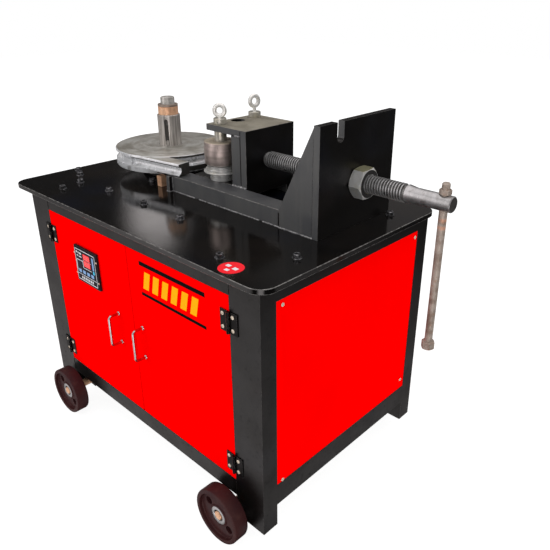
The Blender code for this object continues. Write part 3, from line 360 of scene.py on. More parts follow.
class Surface:
    """A Principled material, and the nodes that vary it over the surface."""

    def __init__(self, name, colour, roughness, metallic=0.0, specular=0.5):
        self.material = bpy.data.materials.new(name)
        self.material.use_nodes = True
        tree = self.material.node_tree
        self.nodes, self.links = tree.nodes, tree.links
        self.shader = self.nodes["Principled BSDF"]
        settings = {"Metallic": metallic, "Specular IOR Level": specular, "Roughness": roughness}
        for socket, value in settings.items():
            self.shader.inputs[socket].default_value = value
        self.shader.inputs["Base Color"].default_value = (*colour, 1.0)
        self.where = self.nodes.new("ShaderNodeTexCoord").outputs["Object"]
        self.normal = None

    def plug(self, socket, value):
        """Sets a socket to a value or to another node's output."""
        if isinstance(value, bpy.types.NodeSocket):
            self.links.new(value, socket)
        else:
            socket.default_value = value

    def math(self, operation, first, second=0.0):
        node = self.nodes.new("ShaderNodeMath")
        node.operation = operation
        self.plug(node.inputs[0], first)
        self.plug(node.inputs[1], second)
        return node.outputs[0]

    def vector_math(self, operation, first, second):
        node = self.nodes.new("ShaderNodeVectorMath")
        node.operation = operation
        self.links.new(first, node.inputs[0])
        node.inputs[1].default_value = second
        return node

    def part(self, vector, axis):
        """One coordinate of a vector."""
        split = self.nodes.new("ShaderNodeSeparateXYZ")
        self.links.new(vector, split.inputs[0])
        return split.outputs["XYZ".index(axis)]

    def stretched(self, scale, vector=None):
        """The place, or another vector, scaled along each axis."""
        return self.vector_math("MULTIPLY", vector or self.where, scale).outputs[0]

    def round_axis(self, axis, centre):
        """Coordinates for a turned surface: (radius, height, angle) about an axis."""
        across = [a for a in "XYZ" if a != axis]
        first = self.math("SUBTRACT", self.part(self.where, across[0]), centre[0])
        second = self.math("SUBTRACT", self.part(self.where, across[1]), centre[1])
        squares = [self.math("MULTIPLY", value, value) for value in (first, second)]
        radius = self.math("SQRT", self.math("ADD", *squares))
        angle = self.math("ARCTAN2", second, first)
        join = self.nodes.new("ShaderNodeCombineXYZ")
        for socket, value in zip(join.inputs, (radius, self.part(self.where, axis), angle)):
            self.plug(socket, value)
        return join.outputs[0]

    def limits(self, value, low, high):
        """A value stretched so that low becomes 0 and high becomes 1."""
        node = self.nodes.new("ShaderNodeMapRange")
        node.interpolation_type = "SMOOTHSTEP"
        self.plug(node.inputs["Value"], value)
        node.inputs["From Min"].default_value = low
        node.inputs["From Max"].default_value = high
        return node.outputs["Result"]

    def noise(self, scale, low, high, detail=3.0, vector=None, seed=0.0):
        node = self.nodes.new("ShaderNodeTexNoise")
        node.noise_dimensions = "4D"
        node.inputs["W"].default_value = seed
        node.inputs["Scale"].default_value = scale
        node.inputs["Detail"].default_value = detail
        node.inputs["Roughness"].default_value = 0.5
        self.links.new(vector or self.where, node.inputs["Vector"])
        return self.limits(node.outputs["Fac"], low, high)

    def facing(self, direction, low, high):
        """1 where the surface faces a direction."""
        normal = self.nodes.new("ShaderNodeNewGeometry").outputs["Normal"]
        return self.limits(self.vector_math("DOT_PRODUCT", normal, direction).outputs["Value"], low, high)

    def blend(self, name, mask, value, share=1.0):
        """Mixes a value into one of the shader's sockets where the mask is 1."""
        socket = self.shader.inputs[name]
        node = self.nodes.new("ShaderNodeMix")
        node.data_type = "RGBA" if name == "Base Color" else "FLOAT"
        self.plug(node.inputs["Factor"], self.math("MULTIPLY", mask, share))
        before = socket.links[0].from_socket if socket.is_linked else socket.default_value
        self.plug(node.inputs["A"], before)
        node.inputs["B"].default_value = value
        self.links.new(node.outputs["Result"], socket)

    def tint(self, mask, colour, share=1.0):
        self.blend("Base Color", mask, (*colour, 1.0), share)

    def rough(self, mask, value, share=1.0):
        self.blend("Roughness", mask, value, share)

    def bump(self, height, distance, strength=1.0):
        node = self.nodes.new("ShaderNodeBump")
        node.inputs["Strength"].default_value = strength
        node.inputs["Distance"].default_value = distance
        self.links.new(height, node.inputs["Height"])
        if self.normal:
            self.links.new(self.normal, node.inputs["Normal"])
        self.normal = node.outputs["Normal"]
        self.links.new(self.normal, self.shader.inputs["Normal"])

    def stain(self, scale, low, high, colour, share, detail=3, seed=0):
        """Patches of another colour."""
        self.tint(self.noise(scale, low, high, detail, seed=seed), colour, share)

    def dull(self, scale, value, seed=1, detail=3):
        """Patches of another roughness."""
        self.rough(self.noise(scale, 0.4, 0.7, detail, seed=seed), value)

    def grain(self, scale, distance, strength, detail=3, seed=0):
        """Fine unevenness."""
        self.bump(self.noise(scale, 0.3, 0.7, detail, seed=seed), distance, strength)


def black_paint(name="black_paint", specular=0.36):
    """Satin black paint on hot-rolled steel, with brownish and bluish patches and rubbed spots."""
    s = Surface(name, (0.0020, 0.0016, 0.0014), 0.40, specular=specular)
    s.stain(9, 0.45, 0.75, (0.0070, 0.0045, 0.0038), 0.7)
    s.stain(6, 0.50, 0.75, (0.0032, 0.0040, 0.0075), 0.6, 3, 4)
    s.stain(160, 0.66, 0.78, (0.034, 0.030, 0.028), 0.35, 3, 7)
    s.rough(s.noise(14, 0.3, 0.7, seed=2), 0.30)
    s.rough(s.noise(90, 0.55, 0.75, seed=3), 0.60, 0.5)
    s.bump(s.noise(220, 0.2, 0.8, 2), 0.00025, 0.35)
    s.bump(s.noise(7, 0.2, 0.8, 1, seed=5), 0.0012, 0.25)
    return s.material


def edge_wear_and_highlight():
    """The same paint on the edges, rubbed thin and shinier.  Its lighter colour is partly rubbed paint and
    partly a painted highlight along the bevels.
    """
    s = Surface("edge_wear_and_highlight", (0.055, 0.052, 0.050), 0.28, specular=0.7)
    s.stain(60, 0.42, 0.60, (0.24, 0.23, 0.22), 0.8)
    s.blend("Metallic", s.noise(60, 0.52, 0.66), 0.7)
    s.dull(150, 0.45, 2)
    return s.material


def table_paint():
    """Gloss black on the table, with smears of oil and dull patches."""
    s = Surface("table_paint", (0.0030, 0.0028, 0.0028), 0.08, specular=0.5)
    s.stain(5, 0.45, 0.7, (0.0080, 0.0062, 0.0050), 0.8, 3, 1)
    s.stain(4, 0.5, 0.7, (0.0030, 0.0038, 0.0075), 0.8, 3, 6)
    s.stain(240, 0.70, 0.80, (0.05, 0.045, 0.04), 0.4, 3, 9)
    s.rough(s.noise(6, 0.35, 0.65, 4, seed=2), 0.11)
    s.rough(s.noise(4, 0.4, 0.6, 2, s.stretched((1, 14, 1)), seed=3), 0.09, 0.5)
    s.bump(s.noise(260, 0.2, 0.8, 2), 0.00018, 0.30)
    s.bump(s.noise(5, 0.2, 0.8, 1, seed=5), 0.0015, 0.25)
    return s.material


def red_paint():
    """Gloss red enamel on thin sheet: a faint orange peel and shallow waves."""
    s = Surface("red_paint", (0.95, 0.0, 0.0), 0.30, specular=0.0)
    s.stain(3, 0.4, 0.7, (0.88, 0.0, 0.0), 0.6)
    s.stain(190, 0.70, 0.80, (0.62, 0.0, 0.0), 0.30, 3, 3)
    s.rough(s.noise(8, 0.35, 0.65, seed=1), 0.40)
    s.bump(s.noise(320, 0.2, 0.8, 1), 0.00012, 0.30)
    s.bump(s.noise(4.5, 0.2, 0.8, 1, seed=5), 0.0020, 0.30)
    return s.material


def red_edge():
    # Painted highlight: the pinkish patches on the red panels' bevelled edges stand in for the light they
    # catch.
    s = Surface("red_edge", (0.92, 0.03, 0.03), 0.25, specular=0.3)
    s.stain(80, 0.5, 0.65, (0.95, 0.22, 0.18), 0.7)
    s.rough(s.noise(80, 0.4, 0.6, seed=2), 0.40)
    return s.material


def chrome():
    s = Surface("chrome", (0.62, 0.62, 0.63), 0.12, 1.0)
    s.dull(60, 0.22, 0)
    s.stain(40, 0.50, 0.72, (0.34, 0.33, 0.32), 0.6)
    s.grain(120, 0.0001, 0.2)
    return s.material


def die_steel(top):
    """Turned bright steel of the die.  The top is brushed and stained.  The rim is polished by pipes, and
    its near-white, half-matt colour is also a painted reflection.
    """
    if top:
        s = Surface("die_top_steel", (0.50, 0.49, 0.46), 0.34, 0.55)
    else:
        # Painted reflection: a near-white, half-matt colour that carries the rim's bright band.
        s = Surface("die_rim_sheen_steel", (0.86, 0.87, 0.89), 0.18, 0.45)
    turned = s.round_axis("Z", SPINDLE)
    fine = s.noise(1, 0.3, 0.7, 2, s.stretched((900, 300, 1.5), turned), seed=1)
    broad = s.noise(1, 0.35, 0.65, 3, s.stretched((60, 50, 2.0), turned), seed=2)
    if top:
        s.tint(broad, (0.30, 0.27, 0.23), 0.8)
        s.stain(16, 0.45, 0.65, (0.22, 0.205, 0.17), 0.7, 4, 3)
        s.stain(70, 0.6, 0.75, (0.13, 0.09, 0.06), 0.5, 3, 5)
    else:
        s.tint(broad, (0.60, 0.60, 0.62), 0.6)
        s.stain(40, 0.55, 0.72, (0.26, 0.25, 0.24), 0.7, 4, 3)
        s.rough(s.noise(50, 0.5, 0.7, 3, seed=4), 0.38)
    s.rough(fine, 0.42 if top else 0.24, 0.7)
    s.bump(fine, 0.00012, 0.5)
    s.grain(26, 0.0005, 0.25, 2, 6)
    return s.material


def painted_shade_steel():
    """The die's clamp tail and the keyway: near-black steel as painted shade on the tail's end and
    underside and on the keyway's faces, brighter where pipes rub.
    """
    s = Surface("painted_shade_steel", (0.060, 0.056, 0.052), 0.40, 0.6)
    s.stain(30, 0.5, 0.7, (0.20, 0.19, 0.18), 0.6, 4)
    s.stain(90, 0.58, 0.72, (0.10, 0.06, 0.04), 0.6, 3, 3)
    s.rough(s.noise(40, 0.4, 0.6, seed=1), 0.55)
    s.grain(80, 0.0004, 0.4)
    return s.material


def turned_steel(name, colour, dark, roughness, axis, centre, metallic=0.9, rust=0.4):
    """Lathe-turned steel: fine rings round the axis, darker bands and stains."""
    s = Surface(name, colour, roughness, metallic)
    turned = s.round_axis(axis, centre)
    fine = s.noise(1, 0.3, 0.7, 2, s.stretched((500, 1100, 1.2), turned), seed=1)
    bands = s.noise(1, 0.35, 0.65, 2, s.stretched((40, 90, 0.5), turned), seed=2)
    s.tint(bands, dark, 0.65)
    s.stain(55, 0.55, 0.75, (0.10, 0.07, 0.05), rust, 4, 3)
    s.rough(fine, min(roughness + 0.18, 0.9), 0.7)
    s.rough(s.noise(45, 0.5, 0.7, 3, seed=4), min(roughness + 0.25, 0.9), 0.5)
    s.bump(fine, 0.0001, 0.5)
    return s.material


def streaked_steel():
    """The keyed sleeve: brown-grey steel with upright streaks."""
    s = Surface("streaked_steel", (0.64, 0.605, 0.57), 0.34, 0.70)
    streak = s.noise(1, 0.35, 0.65, 3, s.stretched((170, 170, 9)), seed=1)
    s.tint(streak, (0.24, 0.21, 0.19), 0.75)
    s.tint(s.noise(1, 0.55, 0.75, 3, s.stretched((240, 240, 14)), seed=4), (0.50, 0.48, 0.46), 0.6)
    s.stain(60, 0.6, 0.78, (0.10, 0.06, 0.04), 0.6, 4, 3)
    s.rough(streak, 0.48, 0.8)
    s.bump(streak, 0.0003, 0.5)
    return s.material


def bronze():
    s = Surface("bronze", (0.88, 0.52, 0.32), 0.36, 0.55)
    s.stain(60, 0.45, 0.7, (0.55, 0.29, 0.17), 0.7, 4)
    s.stain(140, 0.55, 0.75, (0.95, 0.68, 0.50), 0.5, 3, 2)
    s.dull(80, 0.52)
    s.grain(190, 0.0002, 0.4)
    return s.material


def zinc(name="zinc", colour=(0.66, 0.66, 0.65), warm=0.25, metallic=0.7, top=None):
    """Zinc plate with a yellowish cast and duller patches.  top is the colour of faces that look up, a
    painted reflection set by their direction.
    """
    s = Surface(name, colour, 0.28, metallic)
    s.stain(50, 0.45, 0.7, (0.60, 0.55, 0.38), warm)
    s.stain(110, 0.58, 0.75, (0.25, 0.23, 0.20), 0.6, 4, 2)
    if top:
        # Painted reflection: the faces that look up take the top colour, a darker, yellower cast.
        s.tint(s.facing((0, 0, 1), 0.4, 0.8), top, 0.85)
    s.dull(70, 0.44)
    s.grain(240, 0.00015, 0.35)
    return s.material


def lit_screw_crest():
    # Painted highlight: the thread's crests are lighter than its flanks.
    s = Surface("lit_screw_crest", (0.46, 0.46, 0.47), 0.28, 0.75)
    s.stain(90, 0.5, 0.7, (0.28, 0.27, 0.26), 0.7)
    s.dull(120, 0.36)
    s.grain(300, 0.0001, 0.3)
    return s.material


def shaded_screw_flank():
    # Painted shade: the thread's flanks and roots are darker than its crests.
    s = Surface("shaded_screw_flank", (0.20, 0.198, 0.195), 0.34, 0.7)
    s.stain(70, 0.5, 0.7, (0.05, 0.045, 0.04), 0.8)
    s.dull(90, 0.5)
    s.grain(300, 0.0001, 0.3)
    return s.material


def rusty_steel(band_heights):
    """Plain bar with brown mill rust.  Each height gets an orange rust band round the bar."""
    s = Surface("rusty_steel", (0.44, 0.37, 0.32), 0.50, 0.45)
    s.stain(45, 0.4, 0.65, (0.22, 0.155, 0.12), 0.8, 5)
    s.tint(s.noise(1, 0.5, 0.7, 3, s.stretched((150, 150, 12)), seed=2), (0.36, 0.31, 0.27), 0.6)
    s.stain(130, 0.58, 0.75, (0.34, 0.14, 0.05), 0.6, 4, 3)
    height = s.part(s.where, "Z")
    for level in band_heights:
        near = s.math("ABSOLUTE", s.math("SUBTRACT", height, level))
        band = s.math("MULTIPLY", s.limits(near, 0.008, 0.001), s.noise(60, 0.25, 0.5, 3, seed=level))
        s.tint(band, (0.72, 0.34, 0.20), 0.65)
    s.dull(90, 0.75)
    s.grain(150, 0.0005, 0.5, 4)
    return s.material


def wheel_iron():
    """Dark red-brown primer on cast iron, dusty and scuffed near the floor."""
    s = Surface("wheel_iron", (0.042, 0.0110, 0.0110), 0.46, specular=0.16)
    s.stain(16, 0.4, 0.7, (0.028, 0.0090, 0.0120), 0.8)
    s.stain(35, 0.55, 0.75, (0.065, 0.024, 0.020), 0.5, 4, 2)
    s.stain(120, 0.62, 0.78, (0.12, 0.075, 0.065), 0.4, 3, 5)
    s.dull(20, 0.60)
    s.grain(150, 0.0004, 0.4, 4)
    s.grain(20, 0.0010, 0.3, 2, 3)
    return s.material


def wheel_edge():
    s = Surface("wheel_edge", (0.16, 0.075, 0.070), 0.40, 0.2)
    s.stain(60, 0.45, 0.65, (0.06, 0.020, 0.020), 0.8)
    s.rough(s.noise(60, 0.4, 0.6, seed=1), 0.55)
    return s.material


def weld_metal():
    """Weld metal under thin black paint that bares the silver ripples."""
    s = Surface("weld_metal", (0.20, 0.20, 0.205), 0.36, 0.7)
    s.stain(120, 0.40, 0.60, (0.48, 0.48, 0.49), 0.8)
    s.stain(45, 0.52, 0.66, (0.012, 0.011, 0.011), 0.95, 3, 3)
    s.rough(s.noise(160, 0.4, 0.6, seed=1), 0.55)
    s.grain(400, 0.0003, 0.5)
    return s.material


def olive_top():
    """The carriage's top: olive-grey, lighter than its black sides, with streaks running along x."""
    s = Surface("olive_top", (0.25, 0.225, 0.175), 0.38, 0.25)
    s.stain(18, 0.4, 0.7, (0.155, 0.138, 0.105), 0.8)
    s.tint(s.noise(1, 0.5, 0.7, 3, s.stretched((14, 160, 60)), seed=4), (0.32, 0.29, 0.25), 0.6)
    s.stain(90, 0.6, 0.75, (0.05, 0.045, 0.04), 0.6, 4, 2)
    s.dull(25, 0.52)
    s.grain(260, 0.0002, 0.4)
    return s.material


def lit_side_grey():
    """Carriage and gusset sides: black paint lightened to a mottled grey, painted light on the faces that
    look to the front and back.
    """
    s = Surface("lit_side_grey", (0.068, 0.068, 0.069), 0.40, specular=0.5)
    s.stain(10, 0.4, 0.7, (0.044, 0.045, 0.050), 0.9)
    s.tint(s.noise(1, 0.5, 0.7, 3, s.stretched((60, 60, 7)), seed=4), (0.078, 0.077, 0.075), 0.7)
    s.stain(140, 0.64, 0.78, (0.09, 0.09, 0.09), 0.4, 3, 6)
    s.dull(18, 0.34)
    s.grain(240, 0.00025, 0.4)
    return s.material


def black_plastic():
    s = Surface("black_plastic", (0.009, 0.009, 0.011), 0.40, specular=0.20)
    s.stain(40, 0.5, 0.7, (0.022, 0.020, 0.024), 0.7)
    s.rough(s.noise(300, 0.35, 0.65), 0.52)
    s.grain(900, 0.0001, 0.4, 1)
    return s.material


def panel_film():
    """The dark printed film on the control unit's face."""
    s = Surface("panel_film", (0.004, 0.003, 0.009), 0.18, specular=0.08)
    s.stain(22, 0.45, 0.7, (0.020, 0.012, 0.032), 0.8)
    s.rough(s.noise(60, 0.45, 0.65), 0.30)
    s.grain(300, 0.00005, 0.3)
    return s.material


def screw_metal():
    """Yellow zinc on the small screws, dulled to a cream colour."""
    s = Surface("screw_zinc", (0.78, 0.68, 0.56), 0.36, 0.35)
    s.stain(220, 0.45, 0.7, (0.50, 0.42, 0.33), 0.7)
    s.dull(300, 0.52)
    s.grain(500, 0.0001, 0.3)
    return s.material


def black_oxide():
    """Blackened steel of the table's cap screws, bare on the rubbed spots."""
    s = Surface("black_oxide", (0.12, 0.12, 0.13), 0.26, 0.8)
    s.stain(190, 0.48, 0.66, (0.45, 0.45, 0.47), 0.8)
    s.stain(70, 0.45, 0.65, (0.030, 0.028, 0.027), 0.8, 3, 2)
    s.dull(150, 0.42)
    s.grain(300, 0.0002, 0.4)
    return s.material


def printed(name, colour, roughness=0.35, mottled=0.82):
    """Ink or vinyl of one colour, slightly uneven."""
    s = Surface(name, colour, roughness, specular=0.02)
    s.tint(s.noise(150, 0.45, 0.7), tuple(c * mottled for c in colour), 0.7)
    s.dull(90, roughness + 0.15)
    return s.material


def red_display():
    """Red window over lit digits."""
    s = Surface("red_display", (0.80, 0.006, 0.012), 0.12)
    s.stain(60, 0.4, 0.7, (0.60, 0.0, 0.01), 0.6)
    s.dull(60, 0.22)
    s.shader.inputs["Emission Color"].default_value = (1.0, 0.01, 0.02, 1.0)
    s.shader.inputs["Emission Strength"].default_value = 0.25
    return s.material


def grey_iron():
    s = Surface("grey_iron", (0.16, 0.185, 0.19), 0.50)
    s.stain(14, 0.4, 0.7, (0.12, 0.14, 0.145), 0.8)
    s.stain(70, 0.6, 0.75, (0.05, 0.045, 0.04), 0.7, 4, 2)
    s.dull(30, 0.38)
    s.grain(180, 0.0004, 0.5, 4)
    return s.material


def motor_paint():
    s = Surface("motor_paint", (0.020, 0.085, 0.21), 0.40)
    s.stain(12, 0.4, 0.7, (0.016, 0.065, 0.16), 0.8)
    s.stain(80, 0.62, 0.76, (0.07, 0.08, 0.09), 0.6, 4, 2)
    s.dull(30, 0.52)
    s.grain(200, 0.0003, 0.4)
    return s.material


def rubber():
    s = Surface("rubber", (0.018, 0.018, 0.018), 0.75)
    s.stain(60, 0.45, 0.7, (0.035, 0.033, 0.031), 0.7)
    s.dull(90, 0.88)
    s.grain(500, 0.0002, 0.5)
    return s.material


# ---------------------------------------------------------------- cabinet


def screw_head(at, axis, flip, radius=0.0042, height=0.0022):
    """A domed screw head with a cross recess."""
    sunk, slot = 0.0004, 0.0006
    dome = [(radius * math.cos(a), height * (0.35 + 0.65 * math.sin(a))) for a in (0.0, 0.4, 0.8, 1.2)]
    head = lathe([(0, -sunk), (radius, -sunk), *dome, (0, height)], 20)
    reach, bottom, top = radius * 0.62, height * 0.45, height + 0.002
    cross = (slab((-x, -y, bottom), (x, y, top)) for x, y in ((reach, slot), (slot, reach)))
    return placed(carved(head, *[("DIFFERENCE", bar) for bar in cross]), axis, at, flip)


def cap_screw(at, turn, radius=0.0093, height=0.0115):
    """A socket-head cap screw standing on the table over a thin washer."""
    foot, edge = 0.0018, 0.0012
    washer = lathe([(0, 0.0001), (0.0125, 0.0001), (0.0128, 0.0012), (0.0122, 0.0020), (0, 0.0020)], 32)
    head = [(0, foot), (radius, foot), (radius, height - edge), (radius - edge, height), (0, height)]
    socket = prism(hexagon(0.0098, turn), height - 0.0065, height + 0.01)
    return placed(joined(washer, carved(lathe(head, 32), ("DIFFERENCE", socket))), "Z", at)


# Side panel screws (y, z), and table screws (x from the cabinet's middle, y).
SIDE_SCREWS = ((-0.268, 0.712), (0.278, 0.710), (0.271, 0.228), (-0.269, 0.200))
TABLE_SCREWS = (
    (-0.567, -0.143), (-0.5135, -0.1674), (-0.4185, -0.2817), (-0.4378, -0.2096), (-0.2934, -0.1944),
    (-0.1107, -0.1935), (0.0657, -0.1985), (-0.2808, -0.0423), (0.3366, -0.2934), (0.4698, -0.1715),
    (0.4635, 0.2205), (-0.567, 0.290), (-0.280, 0.290), (0.065, 0.300),
)


def cabinet(paint, edge, table, red, red_edge_highlight, screw):
    skin("cabinet_frame", [paint, edge], 0.0022, 1)
    skin("table_plate", [table, edge], 0.0015, 1)
    for node in ("side_panel_left", "side_panel_right", "rear_panel"):
        # The panels' bevels take the pinkish red edge colour, a painted highlight.
        panel = skin(node, [red, red_edge_highlight], 0.0005, 1)
        panel.visible_glossy = False
    skin("base_shelf", [paint, edge], 0.0008, 1)

    for node, flip in (("side_panel_right", False), ("side_panel_left", True)):
        low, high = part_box(node)
        face = low.x if flip else high.x
        heads = [screw_head((face, y, z), "X", flip, 0.0050) for y, z in SIDE_SCREWS]
        screws(node + "_screws", heads, screw, "cabinet")
    low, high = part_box("rear_panel")
    spots = edge_spots(low.xz, high.xz, 0.017, 0.018)
    heads = [screw_head((x, high.y, z), "Y", False, 0.0048) for x, z in spots]
    screws("rear_panel_screws", heads, screw, "cabinet")
    frame_seams(paint)


def edge_spots(low, high, inset_across, inset_up):
    """Eight places round a rectangle: its corners and the middles of its sides, set in."""
    across = (low[0] + inset_across, (low[0] + high[0]) / 2, high[0] - inset_across)
    upward = (low[1] + inset_up, (low[1] + high[1]) / 2, high[1] - inset_up)
    return [(a, b) for a in across for b in upward if a != across[1] or b != upward[1]]


def frame_seams(paint):
    """Painted weld seams where the rails meet the legs."""
    low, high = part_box("cabinet_frame")
    leg = 0.100
    rail_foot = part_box("side_panel_left")[1].z
    lower_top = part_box("left_door")[0].z
    spans = ((rail_foot + 0.003, high.z - 0.004), (lower_top - 0.048, lower_top - 0.004))
    places = [(x, y, span) for x in (low.x + leg, high.x - leg) for y in (low.y, high.y) for span in spans]
    seams = [bead([(x, y, z0), (x, y, z1)], 0.0011, 10 + n) for n, (x, y, (z0, z1)) in enumerate(places)]
    piece("frame_seams", joined(*seams), paint, "cabinet", angle=60)


def table_screws(metal):
    """Cap screws that hold the table and what hangs below it."""
    spots = enumerate(TABLE_SCREWS)
    shapes = [cap_screw((MIDDLE + x, y, TABLE_TOP), 17 * n) for n, (x, y) in spots]
    piece("table_screws", joined(*shapes), metal, "cabinet", angle=30)


def sticker(red_ink, white_ink):
    """A round red sticker near the table's front corner with three plain white marks."""
    x, y, radius = MIDDLE + 0.398, -0.313, 0.031
    ink, thick = 0.0001, 0.0005
    disc = lathe([(0, ink), (radius, ink), (radius - 0.0004, thick), (0, thick)], at=(x, y, TABLE_TOP))
    piece("table_sticker", disc, red_ink, "cabinet")
    # Each mark's place from the sticker's middle, and its size.
    spots = ((-0.013, 0.004, 0.013, 0.010), (0.012, 0.002, 0.014, 0.011), (0.001, -0.014, 0.012, 0.009))
    marks = []
    for dx, dy, wide, deep in spots:
        centre, half = Vector((x + dx, y + dy, TABLE_TOP + 0.0006)), Vector((wide / 2, deep / 2, 0.0001))
        marks.append(slab(centre - half, centre + half))
    piece("table_sticker_marks", joined(*marks), white_ink, "cabinet")


# ---------------------------------------------------------------- doors


def doors(red, red_edge_highlight, black, yellow):
    """The two doors, and the right one's two black bars with leaning yellow bars between them."""
    for node in ("left_door", "right_door"):
        skin(node, [red, red_edge_highlight], 0.0008, 0)
    face, proud = FRONT - 0.0001, 0.0003

    def strip(x0, x1, z0, z1, lean=0.0):
        outline = [(x0 - lean, -z0), (x1 - lean, -z0), (x1 + lean, -z1), (x0 + lean, -z1)]
        return prism(outline, face - proud, face, "Y")

    left, right = MIDDLE + 0.063, MIDDLE + 0.330
    bars = joined(strip(left, right, 0.690, 0.702), strip(left, right, 0.6015, 0.6105))
    piece("door_bars", bars, black, "right_door_set")
    count, wide = 6, 0.024
    starts = [left + 0.016 + n * (right - left - 0.030) / count for n in range(count)]
    slashes = [strip(x, x + wide, 0.624, 0.676, 0.006) for x in starts]
    piece("door_slashes", joined(*slashes), yellow, "right_door_set")


def handles(metal):
    for node in ("left_handle", "right_handle"):
        low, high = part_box(node)
        wire, bend = (high.x - low.x) / 2, 0.009
        x = (low.x + high.x) / 2
        z0, z1 = low.z + wire, high.z - wire
        reach, foot = low.y + wire, high.y
        lower = arc((reach + bend, z0 + bend), bend, 270, 180, 10)
        upper = arc((reach + bend, z1 - bend), bend, 180, 90, 10)
        path = [(x, y, z) for y, z in [(foot, z0), *lower, *upper, (foot, z1)]]
        rose = [(0, 0), (0.0065, 0), (0.0065, 0.0010), (0.0052, 0.0022), (0, 0.0022)]
        roses = [lathe(rose, 32, "Y", (x, foot, z), True) for z in (z0, z1)]
        skin(node, metal, 0, shape=joined(tube(path, wire, 20), *roses))


def hinges(paint, edge, screw):
    for side, level, part in itertools.product(("left", "right"), ("lower", "upper"), ("frame", "door")):
        node = f"{side}_{level}_hinge_{part}_leaf"
        skin(node, [paint, edge], 0.0004, 1)
        low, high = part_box(node)
        inset = 0.0145 if part == "frame" else 0.0090
        x = high.x - inset if (side == "right") == (part == "frame") else low.x + inset
        plate = high.y - 0.0025
        heights = (low.z + 0.011, high.z - 0.011)
        heads = [screw_head((x, plate, z), "Y", True, 0.0050, 0.0026) for z in heights]
        screws(node + "_screws", heads, screw, body_of(node))


# Marks on the control unit's face, as shares of its width and height: left, right, foot, top.
CONTROL_BORDER = (
    (0.02, 0.98, 0.955, 0.9742), (0.02, 0.98, 0.03, 0.054),
    (0.02, 0.036, 0.03, 0.97), (0.964, 0.98, 0.03, 0.97),
)
CONTROL_MARKS = (
    (0.08, 0.14, 0.85, 0.90), (0.17, 0.21, 0.84, 0.89), (0.24, 0.33, 0.83, 0.885),
    (0.10, 0.17, 0.755, 0.785), (0.20, 0.33, 0.745, 0.775), (0.05, 0.36, 0.635, 0.655),
    (0.05, 0.07, 0.30, 0.655), (0.36, 0.38, 0.45, 0.655), (0.38, 0.76, 0.450, 0.467),
    (0.38, 0.76, 0.684, 0.697), (0.05, 0.95, 0.205, 0.220),
)
INK_GAP = 0.00002     # between a mark and the face behind it
DIGITS = 3
STROKE = 0.0011


def control_unit(plastic, film, white, pale_blue, cyan, display, screw, lit):
    """The control unit's bezel and face.  All marks are plain strokes and dots, no lettering."""
    skin("control_case", [plastic, plastic], 0.0016, 1)
    skin("control_face", [film, plastic], 0.0003, 1)
    low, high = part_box("control_face")
    size = high - low

    def patches(name, shares, ink, proud=0.0003, bevel=0.0):
        """Thin patches placed by shares of the face, from its lower left corner."""
        slabs = []
        for x0, x1, z0, z1 in shares:
            first = (low.x + x0 * size.x, low.y - proud, low.z + z0 * size.z)
            last = (low.x + x1 * size.x, low.y - INK_GAP, low.z + z1 * size.z)
            slabs.append(slab(first, last))
        piece(name, joined(*slabs), ink, "left_door_set", bevel=bevel)

    ticks = [(0.22 + 0.085 * n, 0.27 + 0.085 * n, 0.085, 0.165) for n in range(7)]
    keys = [(0.12 + 0.2 * n, 0.25 + 0.2 * n, 0.27, 0.37) for n in range(4)]
    patches("control_border", CONTROL_BORDER, white)
    patches("control_marks", (*CONTROL_MARKS, *ticks), white)
    patches("control_keys", keys, pale_blue, 0.0009, 0.0003)
    patches("control_strip", [(0.83, 0.90, 0.52, 0.90)], pale_blue)
    patches("control_strip_end", [(0.83, 0.90, 0.40, 0.50)], cyan)
    for node in ("upper_display", "lower_display"):
        skin(node, [display, plastic], 0.0003, None)
        digits(node, lit)

    low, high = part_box("control_case")
    heads = [
        screw_head((x, low.y, low.z + share * (high.z - low.z)), "Y", True, 0.0030, 0.0018)
        for x in (low.x + 0.0026, high.x - 0.0026)
        for share in (0.22, 0.78)
    ]
    screws("control_screws", heads, screw, "left_door_set")


def digits(node, lit):
    """Seven-stroke figures on a display, all strokes lit."""
    low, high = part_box(node)
    size = high - low
    front, back = low.y - 0.0001, low.y - INK_GAP
    foot, top = low.z + size.z * 0.16, high.z - size.z * 0.16
    centre = (foot + top) / 2
    bars = []
    for n in range(DIGITS):
        left = low.x + size.x * (0.13 + 0.28 * n)
        right = left + size.x * 0.20
        for z in (foot, centre, top):
            bars.append(slab((left, front, z - STROKE / 2), (right, back, z + STROKE / 2)))
        for x in (left, right):
            for z0, z1 in ((foot, centre), (centre, top)):
                bars.append(slab((x - STROKE / 2, front, z0 + STROKE), (x + STROKE / 2, back, z1 - STROKE)))
    piece(node + "_digits", joined(*bars), lit, "left_door_set")


# ---------------------------------------------------------------- wheels


WHEEL_WEB = (0.020, 0.031)     # depths from the wheel's inner face
WHEEL_HUB_HIGH = 0.034
WHEEL_RIM = 0.0665
WHEEL_HUB = 0.0300
WHEEL_BUSH = (0.0166, 0.0265)
WHEEL_HOLE = 0.0120
WHEEL_HOLE_RING = 0.046
WHEEL_HOLE_TURN = {"left": 135, "right": 146}


